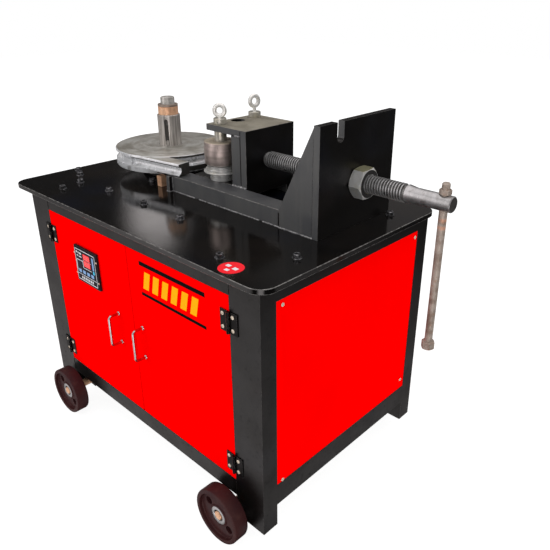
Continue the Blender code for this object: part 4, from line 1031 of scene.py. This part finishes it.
def wheel_disc(radius, depth, turn):
    """The cast wheel: rim, thin web with two holes, and hub.  Its outer face is up."""
    low, high = WHEEL_WEB
    rim, hub, bore, soft = WHEEL_RIM, WHEEL_HUB, WHEEL_BUSH[1], 0.0025
    profile = [
        (bore, WHEEL_HUB_HIGH), (hub - 0.0008, WHEEL_HUB_HIGH), (hub, WHEEL_HUB_HIGH - 0.0004),
        (hub, high + soft), (hub + soft, high), (rim - soft, high), (rim, high + soft),
        (rim + 0.0008, depth - 0.0010), (rim + 0.0020, depth), (radius - 0.0035, depth),
        (radius - 0.0010, depth - 0.0010), (radius, depth - 0.0035), (radius, 0.0035),
        (radius - 0.0010, 0.0010), (radius - 0.0035, 0.0), (rim + 0.0020, 0.0), (rim + 0.0008, 0.0010),
        (rim, low - soft), (rim - soft, low), (hub + soft, low), (hub, low - soft),
        (hub, 0.0010), (hub - 0.0010, 0.0002), (bore, 0.0002),
    ]
    hole = [(0, -0.01), (WHEEL_HOLE, -0.01), (WHEEL_HOLE, depth + 0.01), (0, depth + 0.01)]
    spots = circle((0, 0), WHEEL_HOLE_RING, 2, math.radians(turn))
    return carved(lathe(profile, 96), *[("DIFFERENCE", lathe(hole, 40, at=(x, y, 0))) for x, y in spots])


def wheels(iron, edge, bush, grease, copper):
    """Each wheel with its steel bush and greasy liner, and the two axles."""
    for node in ("front_left_wheel", "front_right_wheel", "rear_left_wheel", "rear_right_wheel"):
        low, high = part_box(node)
        front = low.y < 0
        centre = middle(node)
        turn = WHEEL_HOLE_TURN["left" if "left" in node else "right"]
        # Parts are made with the outer face up, then turned so that it looks outwards.
        outward = Matrix(((1, 0, 0, 0), (0, 0, -1 if front else 1, 0), (0, 1, 0, 0), (0, 0, 0, 1)))
        place = Matrix.Translation((centre.x, high.y if front else low.y, centre.z)) @ outward

        disc = moved(wheel_disc((high.z - low.z) / 2, high.y - low.y, turn), place)
        wheel = skin(node, [iron, edge], 0.0006, 1, 30, disc)
        wheel.modifiers["edges"].segments = 1
        near, far = WHEEL_BUSH
        top = WHEEL_HUB_HIGH
        ring = [
            (near, 0.0010), (far - 0.0002, 0.0010), (far - 0.0002, top - 0.0008),
            (far - 0.0010, top - 0.0002), (near + 0.0010, top - 0.0002), (near, top - 0.0012),
        ]
        bore, foot, rim = 0.0128, 0.0016, near - 0.0001
        liner = [(bore, foot), (rim, foot), (rim, top - 0.006), (bore, top - 0.006)]
        for name, profile, sides, metal in (("_bush", ring, 64, bush), ("_liner", liner, 48, grease)):
            shape = moved(lathe(profile, sides), place)
            piece(node + name, shape, metal, body_of(node), angle=40)

    for node in ("left_axle", "right_axle"):
        low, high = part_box(node)
        radius = (high.z - low.z) / 2
        end = [(0, 0.0022), (0.0022, 0.0003), (radius - 0.0016, 0), (radius, 0.0016)]
        centre = middle(node)
        skin(node, copper, 0, shape=lathe(mirrored(end, -high.y, high.y), 40, "Y", (centre.x, 0, centre.z)))


# ---------------------------------------------------------------- screw and carriage


def rails_and_bracket(paint, edge, side, weld):
    for node in ("front_guide_rail", "rear_guide_rail"):
        rail = skin(node, [side, edge, paint], 0.0013, 1)
        # Painted light: the rails keep the lighter grey on all faces but their ends, which take the black
        # paint.
        paint_faces(rail, 2, lambda centre, normal: abs(normal.x) > 0.9)
    bracket = skin("screw_bracket", [paint, edge, side], 0.0013, 1)
    # Painted light: the bracket's faces that look to the front and back take the lighter grey.
    paint_faces(bracket, 2, lambda centre, normal: abs(normal.y) > 0.9)

    rail_low, rail_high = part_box("front_guide_rail")
    rear_low, rear_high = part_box("rear_guide_rail")
    low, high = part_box("screw_bracket")
    inset = 0.014     # the rails' end plates stand out by this much
    foot, rail_top = TABLE_TOP + 0.0005, rail_high.z
    plate, end = high.x - 0.019, rail_low.x + inset
    front, back = rail_low.y + inset, rear_high.y - inset
    gusset, far_gusset = low.y + 0.003, high.y - 0.003
    spans = (
        (1, 0.0018, (rail_low.x, rail_low.y, foot), (end, rail_low.y, foot)),
        (2, 0.0018, (end, rail_low.y, foot), (end, front, foot)),
        (3, 0.0020, (end, front, foot), (low.x, front, foot)),
        (4, 0.0024, (low.x, gusset, foot), (plate, gusset, foot)),
        (5, 0.0020, (end, front - 0.0005, foot + 0.004), (end, front - 0.0005, rail_top - 0.004)),
        (10, 0.0020, (rear_low.x + inset, back, foot), (low.x, back, foot)),
        (11, 0.0024, (low.x, far_gusset, foot), (plate, far_gusset, foot)),
    )
    beads("rail_welds", spans, weld, "cabinet")
    spans = (
        (6, 0.0026, (plate, gusset, foot + 0.01), (plate, gusset, high.z - 0.03)),
        (7, 0.0026, (plate, far_gusset, foot + 0.01), (plate, far_gusset, high.z - 0.03)),
        (9, 0.0018, (low.x, gusset - 0.0005, foot + 0.004), (low.x, gusset - 0.0005, rail_top - 0.006)),
    )
    beads("bracket_seams", spans, paint, "cabinet")


def bracket_nut(metal, dark_end):
    """The screw's nut on the bracket.  Its end face is darker than its flats."""
    low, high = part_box("bracket_nut")
    axis = middle("lead_screw")
    flats, bore, turn = 0.075, 0.0243, 34
    shape = nut_shape(flats, high.x - low.x, bore, turn, "X", (low.x, axis.y, axis.z))
    nut = skin("bracket_nut", [metal, dark_end], 0.0005, None, 30, shape)
    paint_faces(nut, 1, lambda centre, normal: normal.x > 0.9)


SCREW_CREST = 0.0237
SCREW_ROOT = 0.0199
SCREW_PITCH = 0.008
SCREW_SIDES = 48


def lead_screw(crest, flank, plain, dark_end):
    """A trapezoidal thread cut as one helical strip, run out into the plain end and the journal."""
    low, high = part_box("lead_screw")
    axis = middle("lead_screw")
    root, sides = SCREW_ROOT, SCREW_SIDES
    plain_radius, journal, collar = 0.0200, 0.018, 0.030
    start, end = low.x + 0.0815, low.x + 0.552
    total = int((end - start) / SCREW_PITCH) * sides
    # One turn's section: share of the pitch, and radius.
    section = ((0.00, root), (0.20, SCREW_CREST), (0.52, SCREW_CREST), (0.72, root))
    bm = bmesh.new()

    def corner(x, radius, n):
        angle = 2 * math.pi * n / sides
        return bm.verts.new((x, axis.y + radius * math.cos(angle), axis.z + radius * math.sin(angle)))

    def run(first, stations, end_material):
        """Plain turned rings from the thread's end out to a flat face."""
        for x, radius in stations:
            after = [corner(x, radius, n) for n in range(sides)]
            bridge(bm, first, after, 2)
            first = after
        bm.faces.new(first).material_index = end_material

    columns = []
    for n in range(total + 1):
        fade = min(1.0, n / (sides * 0.8), (total - n) / (sides * 0.35))
        columns.append([
            corner(start + SCREW_PITCH * (n / sides + share), root + (radius - root) * fade, n)
            for share, radius in section
        ])
    feet = [column[0] for column in columns]
    for n in range(total + 1, total + sides + 1):
        feet.append(corner(start + SCREW_PITCH * n / sides, root, n))
    for n in range(total):
        near, far = [*columns[n], feet[n + sides]], [*columns[n + 1], feet[n + 1 + sides]]
        for row in range(len(section)):
            face = bm.faces.new((near[row], far[row], far[row + 1], near[row + 1]))
            # Painted light: the crest faces take the lighter steel, the flanks and roots the darker one.
            face.material_index = 0 if row == 1 else 1

    # The helical edges are closed against plain rings, which run on to the screw's two ends.
    for edge, x in ((feet[total:], end + 0.0022), (feet[:sides + 1], start - 0.0012)):
        ring = [corner(x, root, n) for n in range(sides)]
        for n in range(sides):
            bm.faces.new((edge[n], edge[n + 1], ring[(n + 1) % sides], ring[n])).material_index = 1
        if x > start:
            taper = ((end + 0.0026, 0.0233), (end + 0.0247, plain_radius))
            run(ring, (*taper, (high.x - 0.0022, plain_radius), (high.x, plain_radius - 0.0022)), 3)
        else:
            shoulder = low.x + 0.0195
            run(ring, ((x, journal), (shoulder, journal), (shoulder, collar), (low.x, collar)), 2)
    bmesh.ops.remove_doubles(bm, verts=bm.verts, dist=0.000001)
    bmesh.ops.recalc_face_normals(bm, faces=bm.faces)
    skin("lead_screw", [crest, flank, plain, dark_end], 0, None, 32, bm)


def cross_bar(rust):
    """The bar through the screw's end: a hexagon head below, a short thread and a nut above."""
    low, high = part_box("cross_bar")
    x, y = middle("cross_bar").x, middle("lead_screw").y
    radius, head, sunk = 0.010, 0.022, 0.002
    grooves, groove, depth = 10, 0.0024, 0.0007
    profile = [(0, low.z + head - sunk), (radius, low.z + head - sunk), (radius, high.z - 0.030)]
    for n in range(grooves):
        z = high.z - 0.029 + n * groove
        profile += [(radius, z), (radius - depth, z + groove / 2)]
    profile += [(radius, high.z - 0.0040), (radius - 0.0025, high.z - 0.0006), (0, high.z)]
    knob = nut_shape(0.030, head, 0, 10, "Z", (x, y, low.z), 0.0018)
    skin("cross_bar", rust, 0, shape=joined(lathe(profile, 40, at=(x, y, 0)), knob))
    low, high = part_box("cross_bar_nut")
    nut = nut_shape(0.026, high.z - low.z, radius + 0.0003, 20, "Z", (x, y, low.z), 0.0010)
    skin("cross_bar_nut", rust, 0.0004, None, 30, nut)


def carriage(paint, edge, side, top, weld):
    frame_piece = skin("carriage_frame", [paint, edge, side, top], 0.0012, 1)
    low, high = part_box("carriage_frame")
    # Painted light: the carriage's faces that look to the front and back take the lighter grey.
    paint_faces(frame_piece, 2, lambda centre, normal: abs(normal.y) > 0.9)
    paint_faces(frame_piece, 3, lambda centre, normal: normal.z > 0.9 and centre.z > high.z - 0.001)
    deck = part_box("front_guide_rail")[1].z
    block, plate, end = high.x - 0.060, high.x - 0.023, high.x - 0.002
    under_top = high.z - 0.018
    near, far = low.y + 0.0005, high.y - 0.0005
    spans = (
        (21, 0.0046, (block, near, deck), (end, near, deck)),
        (22, 0.0034, (block, low.y, deck), (block, high.y, deck)),
        (24, 0.0026, (block + 0.001, low.y, under_top), (plate, low.y, under_top)),
        (25, 0.0026, (block, low.y + 0.002, under_top), (block, high.y - 0.002, under_top)),
        (27, 0.0038, (block, far, deck), (end, far, deck)),
    )
    beads("carriage_welds", spans, weld, "carriage", 0.005)
    spans = [
        (seed, 0.0014, (plate, y, deck + 0.006), (plate, y, high.z - 0.003))
        for y, seed in ((low.y, 23), (high.y, 26))
    ]
    beads("carriage_seams", spans, paint, "carriage")


def soft_steps(steps, edge):
    """Plain rings (radius, foot, top) stacked from the lowest up, as one profile with small chamfers."""
    profile = []
    for radius, low, high in steps:
        inner = radius - edge
        profile += [(inner, low), (radius, low + edge), (radius, high - edge), (inner, high)]
    return profile


def rollers(plate, dull, pin_metal, brown, eye):
    for place, facing in (("front", 33.0), ("rear", 80.0)):
        at = under(f"{place}_roller_seat")
        roller_seat(f"{place}_roller_seat", at, plate)
        roller(f"{place}_roller", at, brown, dull)
        roller_pin(f"{place}_roller_pin", at, facing, pin_metal, eye)


def roller_seat(node, at, metal):
    """The bushes and washers below a roller."""
    low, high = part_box(node)
    bore = 0.0183
    steps = (
        (0.036, low.z, 0.8355), (0.0335, 0.8360, 0.8400), (0.036, 0.8405, 0.8520), (0.0540, 0.8530, 0.8560),
        (0.0475, 0.8565, 0.8640), (0.0420, 0.8645, 0.8730), (0.0360, 0.8732, high.z),
    )
    profile = [(bore, low.z), *soft_steps(steps, 0.0006), (bore, high.z)]
    skin(node, metal, 0, shape=lathe(profile, at=at))


def roller(node, at, side, top):
    low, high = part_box(node)
    radius = (high.y - low.y) / 2
    half = [(0.0186, 0.001), (0.0196, 0), (radius - 0.0022, 0), (radius - 0.0006, 0.0007), (radius, 0.0022)]
    shape = lathe(mirrored(half, low.z, high.z), 96, at=at)
    cylinder = skin(node, [side, top], 0, None, 50, shape)
    paint_faces(cylinder, 1, lambda centre, normal: normal.z > 0.9 and centre.z > high.z - 0.001)


def roller_pin(node, at, facing, metal, eye_metal):
    """A pin with a collar, a thin neck and a ring to lift it by, its face turned by some degrees."""
    low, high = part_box(node)
    radius, collar, neck, edge = 0.018, 0.019, 0.0052, 0.0012
    collar_foot, collar_top = 0.9934, 1.010
    ring_radius, wire = 0.0152, 0.0063
    centre = Vector((at[0], at[1], high.z - ring_radius - wire))
    neck_top = high.z - 2 * (ring_radius + wire) + 0.0085
    profile = [
        (0, low.z), (0.0155, low.z), (radius, low.z + 0.0025), (radius, collar_foot),
        (collar - 0.0004, collar_foot + 0.0002), (collar, collar_foot + edge), (collar, collar_top - edge),
        (collar - edge, collar_top), (neck + edge, collar_top), (neck, collar_top + edge),
        (neck, neck_top), (0, neck_top),
    ]
    turn = math.radians(facing - 90)
    across = Vector((-math.sin(turn), math.cos(turn), 0))
    path = [centre + across * a + Vector((0, 0, z)) for a, z in circle((0, 0), ring_radius, 48)]
    shape = joined(lathe(profile, 48, at=at), tube(path, wire, 16, True))
    pin = skin(node, [metal, eye_metal], 0, None, 40, shape)
    paint_faces(pin, 1, lambda centre, normal: centre.z > collar_top)


# ---------------------------------------------------------------- spindle


def upright(outline, near, far, turn):
    """An outline of (y, z) points pushed out along x, then turned round the spindle."""
    return moved(prism([(-z, y) for y, z in outline], near, far, "X"), turn)


def spindle_shaft(metal):
    low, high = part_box("spindle_shaft")
    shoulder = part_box("keyed_sleeve")[1].z
    radius, neck = 0.030, 0.023
    collar, collar_foot, collar_top = 0.065, 0.795, 0.8147
    profile = [
        (0, low.z), (radius, low.z), (radius, collar_foot), (collar - 0.0005, collar_foot),
        (collar, collar_foot + 0.0005), (collar, collar_top - 0.0005), (collar - 0.0005, collar_top),
        (radius, collar_top), (radius, shoulder - 0.001), (radius - 0.001, shoulder), (neck, shoulder),
        (neck, high.z - 0.0035), (0.0222, high.z - 0.0012), (0.0200, high.z), (0.0060, high.z - 0.0003),
        (0.0022, high.z - 0.0025), (0, high.z - 0.0030),
    ]
    skin("spindle_shaft", metal, 0, shape=lathe(profile, at=SPINDLE))


def spindle_ring(metal, top_metal):
    """The bronze ring, with a fine groove under its darker upper part."""
    low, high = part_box("spindle_ring")
    radius, bore, groove = 0.033, 0.0233, 0.001
    step = low.z + 0.76 * (high.z - low.z)
    steps = ((radius, low.z, step), (radius - 0.0006, step, step + groove), (radius, step + groove, high.z))
    profile = [(bore, low.z), *soft_steps(steps, 0.0004), (bore, high.z)]
    ring = skin("spindle_ring", [metal, top_metal], 0, shape=lathe(profile, at=SPINDLE))
    paint_faces(ring, 1, lambda centre, normal: centre.z > step + groove)


def keyed_sleeve(metal, slot_shade_metal):
    """The sleeve with its round-topped keyway, and the key with a heel at its foot."""
    low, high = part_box("keyed_sleeve")
    bore, radius = 0.0303, 0.0375
    profile = [
        (bore, low.z), (radius - 0.0006, low.z), (radius, low.z + 0.0006), (radius, high.z - 0.0018),
        (radius - 0.0018, high.z), (bore, high.z),
    ]
    reach = middle("drive_key") - Vector(SPINDLE)
    turn = Matrix.Translation(SPINDLE) @ Matrix.Rotation(math.atan2(reach.y, reach.x), 4, "Z")
    half, foot, top = 0.0065, 0.874, 0.958
    outline = [(-half, foot), (half, foot), *arc((0, top - half), half, 0, 180, 12)]
    slot = upright(outline, 0.0330, 0.0450, turn)
    shape = carved(lathe(profile, 96, at=SPINDLE), ("DIFFERENCE", slot))
    sleeve = skin("keyed_sleeve", [metal, slot_shade_metal], 0, None, 30, shape)

    def in_slot(centre, normal):
        distance = math.hypot(centre.x - SPINDLE[0], centre.y - SPINDLE[1])
        return 0.0315 < distance < 0.0372 and foot - 0.001 < centre.z < top + 0.001

    # Painted shade: the faces inside the keyway take the near-black steel.
    paint_faces(sleeve, 1, in_slot)

    half, step = 0.0052, foot + 0.0104
    key_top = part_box("drive_key")[1].z
    outline = [(-half, step), (half, step), *arc((0, key_top - half), half, 0, 180, 12)]
    heel = [(-half, foot + 0.0004), (half, foot + 0.0004), (half, step - 0.0004), (-half, step - 0.0004)]
    key = joined(upright(outline, 0.0334, 0.0358, turn), upright(heel, 0.0334, 0.0404, turn))
    skin("drive_key", metal, 0.0006, None, 30, key)


def bending_die(rim, top_metal, tail_shade_metal):
    """The grooved die with its straight clamp tail."""
    low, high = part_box("bending_die")
    radius, bore, edge = 0.183, 0.0378, 0.0026
    groove, groove_z, steps = 0.014, 0.849, 16
    profile = [
        (bore, low.z), (radius - 0.004, low.z), (radius - 0.0012, low.z + 0.0012), (radius, low.z + 0.004),
        *[(radius + 0.0015 - x, groove_z + z) for x, z in arc((0, 0), groove, -84, 84, steps)],
        (radius, groove_z + groove + 0.0004), (radius, high.z - edge), (radius - 0.0008, high.z - 0.0008),
        (radius - edge, high.z), (bore + 0.0014, high.z), (bore, high.z - 0.0014),
    ]
    turn = Matrix.Translation(SPINDLE) @ Matrix.Rotation(math.radians(8.0), 4, "Z")
    tail = slab((0, -0.1800, 0.831), (0.212, -0.133, 0.869))
    bmesh.ops.bevel(tail, geom=list(tail.edges), offset=0.002, segments=2, affect="EDGES", profile=0.5)
    run = [(0, 0.0005), (groove, 0.0005), (groove, 0.235), (0, 0.235)]
    straight = lathe(run, 48, "X", (0, -radius, groove_z))
    cuts = (("UNION", moved(tail, turn)), ("DIFFERENCE", moved(straight, turn)))
    shape = carved(lathe(profile, 160, at=SPINDLE), *cuts)
    die = skin("bending_die", [rim, top_metal, tail_shade_metal], 0, None, 28, shape)
    inverse = turn.inverted()

    def on_tail(centre):
        beyond = math.hypot(centre.x - SPINDLE[0], centre.y - SPINDLE[1]) > radius - 0.0005
        return beyond and (inverse @ centre).x > 0.02

    def on_top(centre, normal):
        return normal.z > 0.95 and (centre.z > high.z - 0.0012 or on_tail(centre))

    def on_tail_end(centre, normal):
        return on_tail(centre) and ((inverse.to_3x3() @ normal).x > 0.5 or normal.z < -0.5)

    # The top faces take the top steel; the rest keeps the rim steel, whose near-white colour is a painted
    # reflection.
    paint_faces(die, 1, on_top)
    # Painted shade: the tail's end and underside take the near-black steel.
    paint_faces(die, 2, on_tail_end)


def bearing(paint, copper):
    """The spindle's bearing housing with its six bolts, and the copper-coloured pad under the die."""
    low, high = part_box("spindle_bearing")
    flange, bore, barrel, rim = TABLE_TOP + 0.0003, 0.0303, 0.060, 0.100
    profile = [
        (bore, low.z), (barrel, low.z), (barrel, flange), (rim - 0.002, flange), (rim, flange + 0.002),
        (rim, high.z - 0.003), (rim - 0.003, high.z), (0.072, high.z), (0.070, high.z - 0.0012),
        (bore, high.z - 0.0012),
    ]
    skin("spindle_bearing", paint, 0, shape=lathe(profile, at=under("spindle_bearing")))
    centre = middle("spindle_bearing")
    spots = circle((centre.x, centre.y), 0.085, 6, math.radians(15))
    heads = []
    for n, (x, y) in enumerate(spots):
        heads.append(nut_shape(0.016, 0.008, 0, 20 * n, "Z", (x, y, high.z), 0.0008))
    piece("bearing_bolts", joined(*heads), paint, "cabinet", bevel=0.0003)
    skin("die_support_pad", [copper, copper], 0.0012, 1)


# ---------------------------------------------------------------- drive inside the cabinet


def drive(iron, bronze_metal, steel, blue, belt_rubber, bolt):
    skin("gearbox_housing", [iron, iron], 0.0030, 1)
    skin("gearbox_cover", [iron, iron], 0.0015, 1)
    low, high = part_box("gearbox_cover")
    spots = edge_spots(low.xy, high.xy, 0.012, 0.012)
    heads = [nut_shape(0.010, 0.0065, 0, 25, "Z", (x, y, high.z), 0.0006) for x, y in spots]
    piece("gearbox_bolts", joined(*heads), bolt, "cabinet", bevel=0.0002)
    skin("worm_wheel", [bronze_metal, bronze_metal], 0.0006, 1)
    skin("worm_shaft", [steel, steel], 0.0004, 1)
    for node in ("driven_pulley", "motor_pulley"):
        skin(node, [iron, steel], 0.0008, 1)
    skin("v_belt", [belt_rubber, belt_rubber], 0.0006, 1)
    motor(blue, bolt)


def motor(blue, bolt):
    """The motor: its case with cooling fins, and the terminal box's lid with its screws."""
    skin("motor", [blue, blue], 0.0012, 1)
    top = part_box("motor")[1].z
    axis = middle("motor_pulley")
    count, lid_thick = 40, 0.0025
    angles = [2 * math.pi * n / count for n in range(count)]
    fins = []
    for angle in angles:
        # The terminal box stands above and the feet below.
        if -0.60 <= math.sin(angle) <= 0.70:
            turn = Matrix.Translation((axis.x, 0, axis.z)) @ Matrix.Rotation(-angle, 4, "Y")
            fins.append(moved(slab((0.0805, 0.000, -0.0011), (0.0885, 0.165, 0.0011)), turn))
    piece("motor_fins", joined(*fins), blue, "cabinet", bevel=0.0004)
    lid = slab((axis.x - 0.026, 0.014, top), (axis.x + 0.026, 0.096, top + lid_thick))
    piece("motor_terminal_lid", lid, blue, "cabinet", bevel=0.0008)
    spots = [(axis.x + dx, y, top + lid_thick) for dx in (-0.021, 0.021) for y in (0.019, 0.091)]
    heads = [screw_head(spot, "Z", False, 0.0028, 0.0016) for spot in spots]
    screws("motor_lid_screws", heads, bolt, "cabinet")


# ---------------------------------------------------------------- studio


LAMP_POWER = 14
SKY_SOFT = 1.12     # what matt surfaces see
SKY_DIM = 0.028     # what shiny surfaces see between the bright patches
SKY_TINT = (1.0, 0.94, 0.93)
# Patches of sky that show in shiny surfaces: direction, angle to the edge, softness, strength.
SKY_PATCHES = (
    ((0, 0, 1), 44, 16, 1.20),
    ((-0.52, -0.66, -0.54), 22, 12, 0.90),
    ((-0.90, 0.10, -0.30), 22, 14, 0.45),
    ((0.60, -0.72, -0.33), 15, 8, 3.0),
    ((-0.78, 0.525, 0.34), 2.0, 1.4, 1.9),
    ((-0.35, -1.0, 0.35), 22, 10, 1.30),
    ((0.48, 0.57, -0.67), 14, 10, 0.50),
    ((-0.45, 0.78, 0.43), 10, 8, 0.14),
    ((1.0, -0.6, 0.50), 16, 8, 0.60),
    ((0.5, 1.0, 0.35), 20, 8, 0.40),
)


def world():
    """Soft light from all round, with bright patches that only shiny surfaces see."""
    studio = bpy.data.worlds.new("studio")
    bpy.context.scene.world = studio
    studio.use_nodes = True
    nodes, links = studio.node_tree.nodes, studio.node_tree.links
    nodes.clear()
    out = nodes.new("ShaderNodeOutputWorld")
    paths = nodes.new("ShaderNodeLightPath")
    where = nodes.new("ShaderNodeTexCoord").outputs["Generated"]

    def plug(socket, value):
        if isinstance(value, bpy.types.NodeSocket):
            links.new(value, socket)
        else:
            socket.default_value = value

    def patch(direction, edge, soft, strength):
        """A bright patch of sky round a direction, with a soft edge.  Angles are in degrees."""
        dot = nodes.new("ShaderNodeVectorMath")
        dot.operation = "DOT_PRODUCT"
        links.new(where, dot.inputs[0])
        dot.inputs[1].default_value = Vector(direction).normalized()
        ramp = nodes.new("ShaderNodeMapRange")
        ramp.interpolation_type = "SMOOTHSTEP"
        links.new(dot.outputs["Value"], ramp.inputs["Value"])
        ramp.inputs["From Min"].default_value = math.cos(math.radians(edge + soft))
        ramp.inputs["From Max"].default_value = math.cos(math.radians(max(edge - soft, 0)))
        ramp.inputs["To Max"].default_value = strength
        return ramp.outputs["Result"]

    def sky(strength, colour=(1.0, 1.0, 1.0)):
        node = nodes.new("ShaderNodeBackground")
        node.inputs["Color"].default_value = (*colour, 1.0)
        plug(node.inputs["Strength"], strength)
        return node.outputs[0]

    def choose(mask, first, second):
        node = nodes.new("ShaderNodeMixShader")
        for socket, value in zip(node.inputs, (mask, first, second)):
            links.new(value, socket)
        return node.outputs[0]

    total = SKY_DIM
    for direction, edge, soft, strength in SKY_PATCHES:
        add = nodes.new("ShaderNodeMath")
        plug(add.inputs[0], total)
        plug(add.inputs[1], patch(direction, edge, soft, strength))
        total = add.outputs[0]
    unseen = choose(paths.outputs["Is Glossy Ray"], sky(SKY_SOFT), sky(total, SKY_TINT))
    links.new(choose(paths.outputs["Is Camera Ray"], unseen, sky(1.0)), out.inputs["Surface"])


def floor():
    """A plain pale floor."""
    bm = bmesh.new()
    bmesh.ops.create_grid(bm, x_segments=2, y_segments=2, size=12)
    mesh = bpy.data.meshes.new("floor")
    bm.to_mesh(mesh)
    bm.free()
    ground = bpy.data.objects.new("floor", mesh)
    bpy.context.scene.collection.objects.link(ground)
    ground.location.z = -0.0005
    s = Surface("floor", (0.25, 0.25, 0.25), 0.9, specular=0.0)
    s.stain(3, 0.4, 0.6, (0.24, 0.24, 0.24), 0.5)
    s.shader.inputs["Emission Color"].default_value = (1.0, 1.0, 1.0, 1.0)
    s.shader.inputs["Emission Strength"].default_value = 0.90
    mesh.materials.append(s.material)
    ground.visible_glossy = False
    ground.visible_diffuse = False


def lamps():
    for name, at, size in (("key", (-1.6, -3.0, 2.6), 2.6), ("top", (0.0, 0.0, 3.6), 3.0)):
        lamp = bpy.data.lights.new(name, "AREA")
        lamp.size = size
        lamp.energy = LAMP_POWER
        light = bpy.data.objects.new(name, lamp)
        bpy.context.scene.collection.objects.link(light)
        light.location = at
        aim = Vector((MIDDLE, 0, 0.5)) - Vector(at)
        light.rotation_euler = aim.to_track_quat("-Z", "Y").to_euler()
        light.visible_glossy = False


def camera():
    data = bpy.data.cameras.new("camera")
    data.lens = CAMERA_LENS
    data.sensor_width = 36
    data.shift_x, data.shift_y = CAMERA_SHIFT
    viewer = bpy.data.objects.new("camera", data)
    scene = bpy.context.scene
    scene.collection.objects.link(viewer)
    azimuth, elevation = math.radians(CAMERA_AZIMUTH), math.radians(CAMERA_ELEVATION)
    level = math.cos(elevation)
    forward = -Vector((math.sin(azimuth) * level, -math.cos(azimuth) * level, math.sin(elevation)))
    viewer.location = CAMERA_AT
    viewer.rotation_euler = forward.to_track_quat("-Z", "Y").to_euler()
    scene.camera = viewer


# ---------------------------------------------------------------- the machine


def build_cabinet(paint, edge, screw, copper):
    red, red_edge_highlight = red_paint(), red_edge()
    white = printed("white_ink", (0.66, 0.65, 0.68))
    pale_blue = printed("pale_blue_ink", (0.22, 0.36, 0.60))
    cabinet(paint, edge, table_paint(), red, red_edge_highlight, screw)
    table_screws(black_oxide())
    sticker(printed("sticker_red", (0.78, 0.02, 0.03)), white)
    black_vinyl = printed("black_vinyl", (0.003, 0.002, 0.002))
    doors(red, red_edge_highlight, black_vinyl, printed("yellow_vinyl", (0.98, 0.40, 0.0)))
    handles(chrome())
    hinges(black_paint("hinge_black", 0.12), edge, screw)
    cyan, lit = printed("cyan_ink", (0.08, 0.50, 0.72)), printed("lit_digit", (0.95, 0.25, 0.25))
    control_unit(black_plastic(), panel_film(), white, pale_blue, cyan, red_display(), screw, lit)
    wheels(wheel_iron(), wheel_edge(), zinc("hub_steel", (0.46, 0.46, 0.47), 0.1), rubber(), copper)


def build_screw_and_carriage(paint, edge):
    weld, side = weld_metal(), lit_side_grey()
    rails_and_bracket(paint, edge, side, weld)
    axis = middle("lead_screw").yz
    nut_end = turned_steel("nut_end", (0.10, 0.10, 0.098), (0.06, 0.058, 0.056), 0.34, "X", axis, 0.85)
    # The nut's zinc is darker and yellower on its faces that look up, a painted reflection.
    bracket_nut(zinc("nut_zinc", (0.78, 0.78, 0.77), 0.3, 0.70, (0.42, 0.39, 0.20)), nut_end)
    plain = turned_steel("screw_plain", (0.54, 0.54, 0.55), (0.38, 0.38, 0.38), 0.26, "X", axis)
    end = turned_steel("screw_end", (0.07, 0.066, 0.062), (0.04, 0.038, 0.036), 0.35, "X", axis, 0.5)
    lead_screw(lit_screw_crest(), shaded_screw_flank(), plain, end)
    bar_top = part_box("lead_screw")[0].z + 0.010
    cross_bar(rusty_steel((bar_top - 0.022, bar_top - 0.040)))
    carriage(paint, edge, side, olive_top(), weld)

    axis = middle("front_roller").xy
    brown = turned_steel("roller_steel", (0.64, 0.54, 0.51), (0.44, 0.38, 0.33), 0.32, "Z", axis)
    dull = turned_steel("roller_top", (0.52, 0.44, 0.34), (0.36, 0.31, 0.24), 0.45, "Z", axis, 0.5)
    eye, pin = zinc("eye_zinc", (0.88, 0.87, 0.84), 0.1, 0.6), zinc("pin_zinc", (0.56, 0.54, 0.49), 0.4)
    rollers(zinc(), dull, pin, brown, eye)


def build_spindle_and_drive(paint, screw, copper):
    shaft = turned_steel("shaft_steel", (0.60, 0.58, 0.55), (0.42, 0.40, 0.37), 0.30, "Z", SPINDLE, 0.65)
    ring_top = turned_steel("ring_top", (0.36, 0.28, 0.23), (0.25, 0.20, 0.17), 0.40, "Z", SPINDLE, 0.6)
    dark = painted_shade_steel()
    spindle_shaft(shaft)
    spindle_ring(copper, ring_top)
    keyed_sleeve(streaked_steel(), dark)
    bending_die(die_steel(False), die_steel(True), dark)
    bearing(paint, copper)
    drive(grey_iron(), copper, shaft, motor_paint(), rubber(), screw)


def build():
    paint, edge, screw, copper = black_paint(), edge_wear_and_highlight(), screw_metal(), bronze()
    build_cabinet(paint, edge, screw, copper)
    build_screw_and_carriage(paint, edge)
    build_spindle_and_drive(paint, screw, copper)
    bpy.context.scene.view_settings.view_transform = "Standard"
    world()
    floor()
    lamps()
    camera()


build()
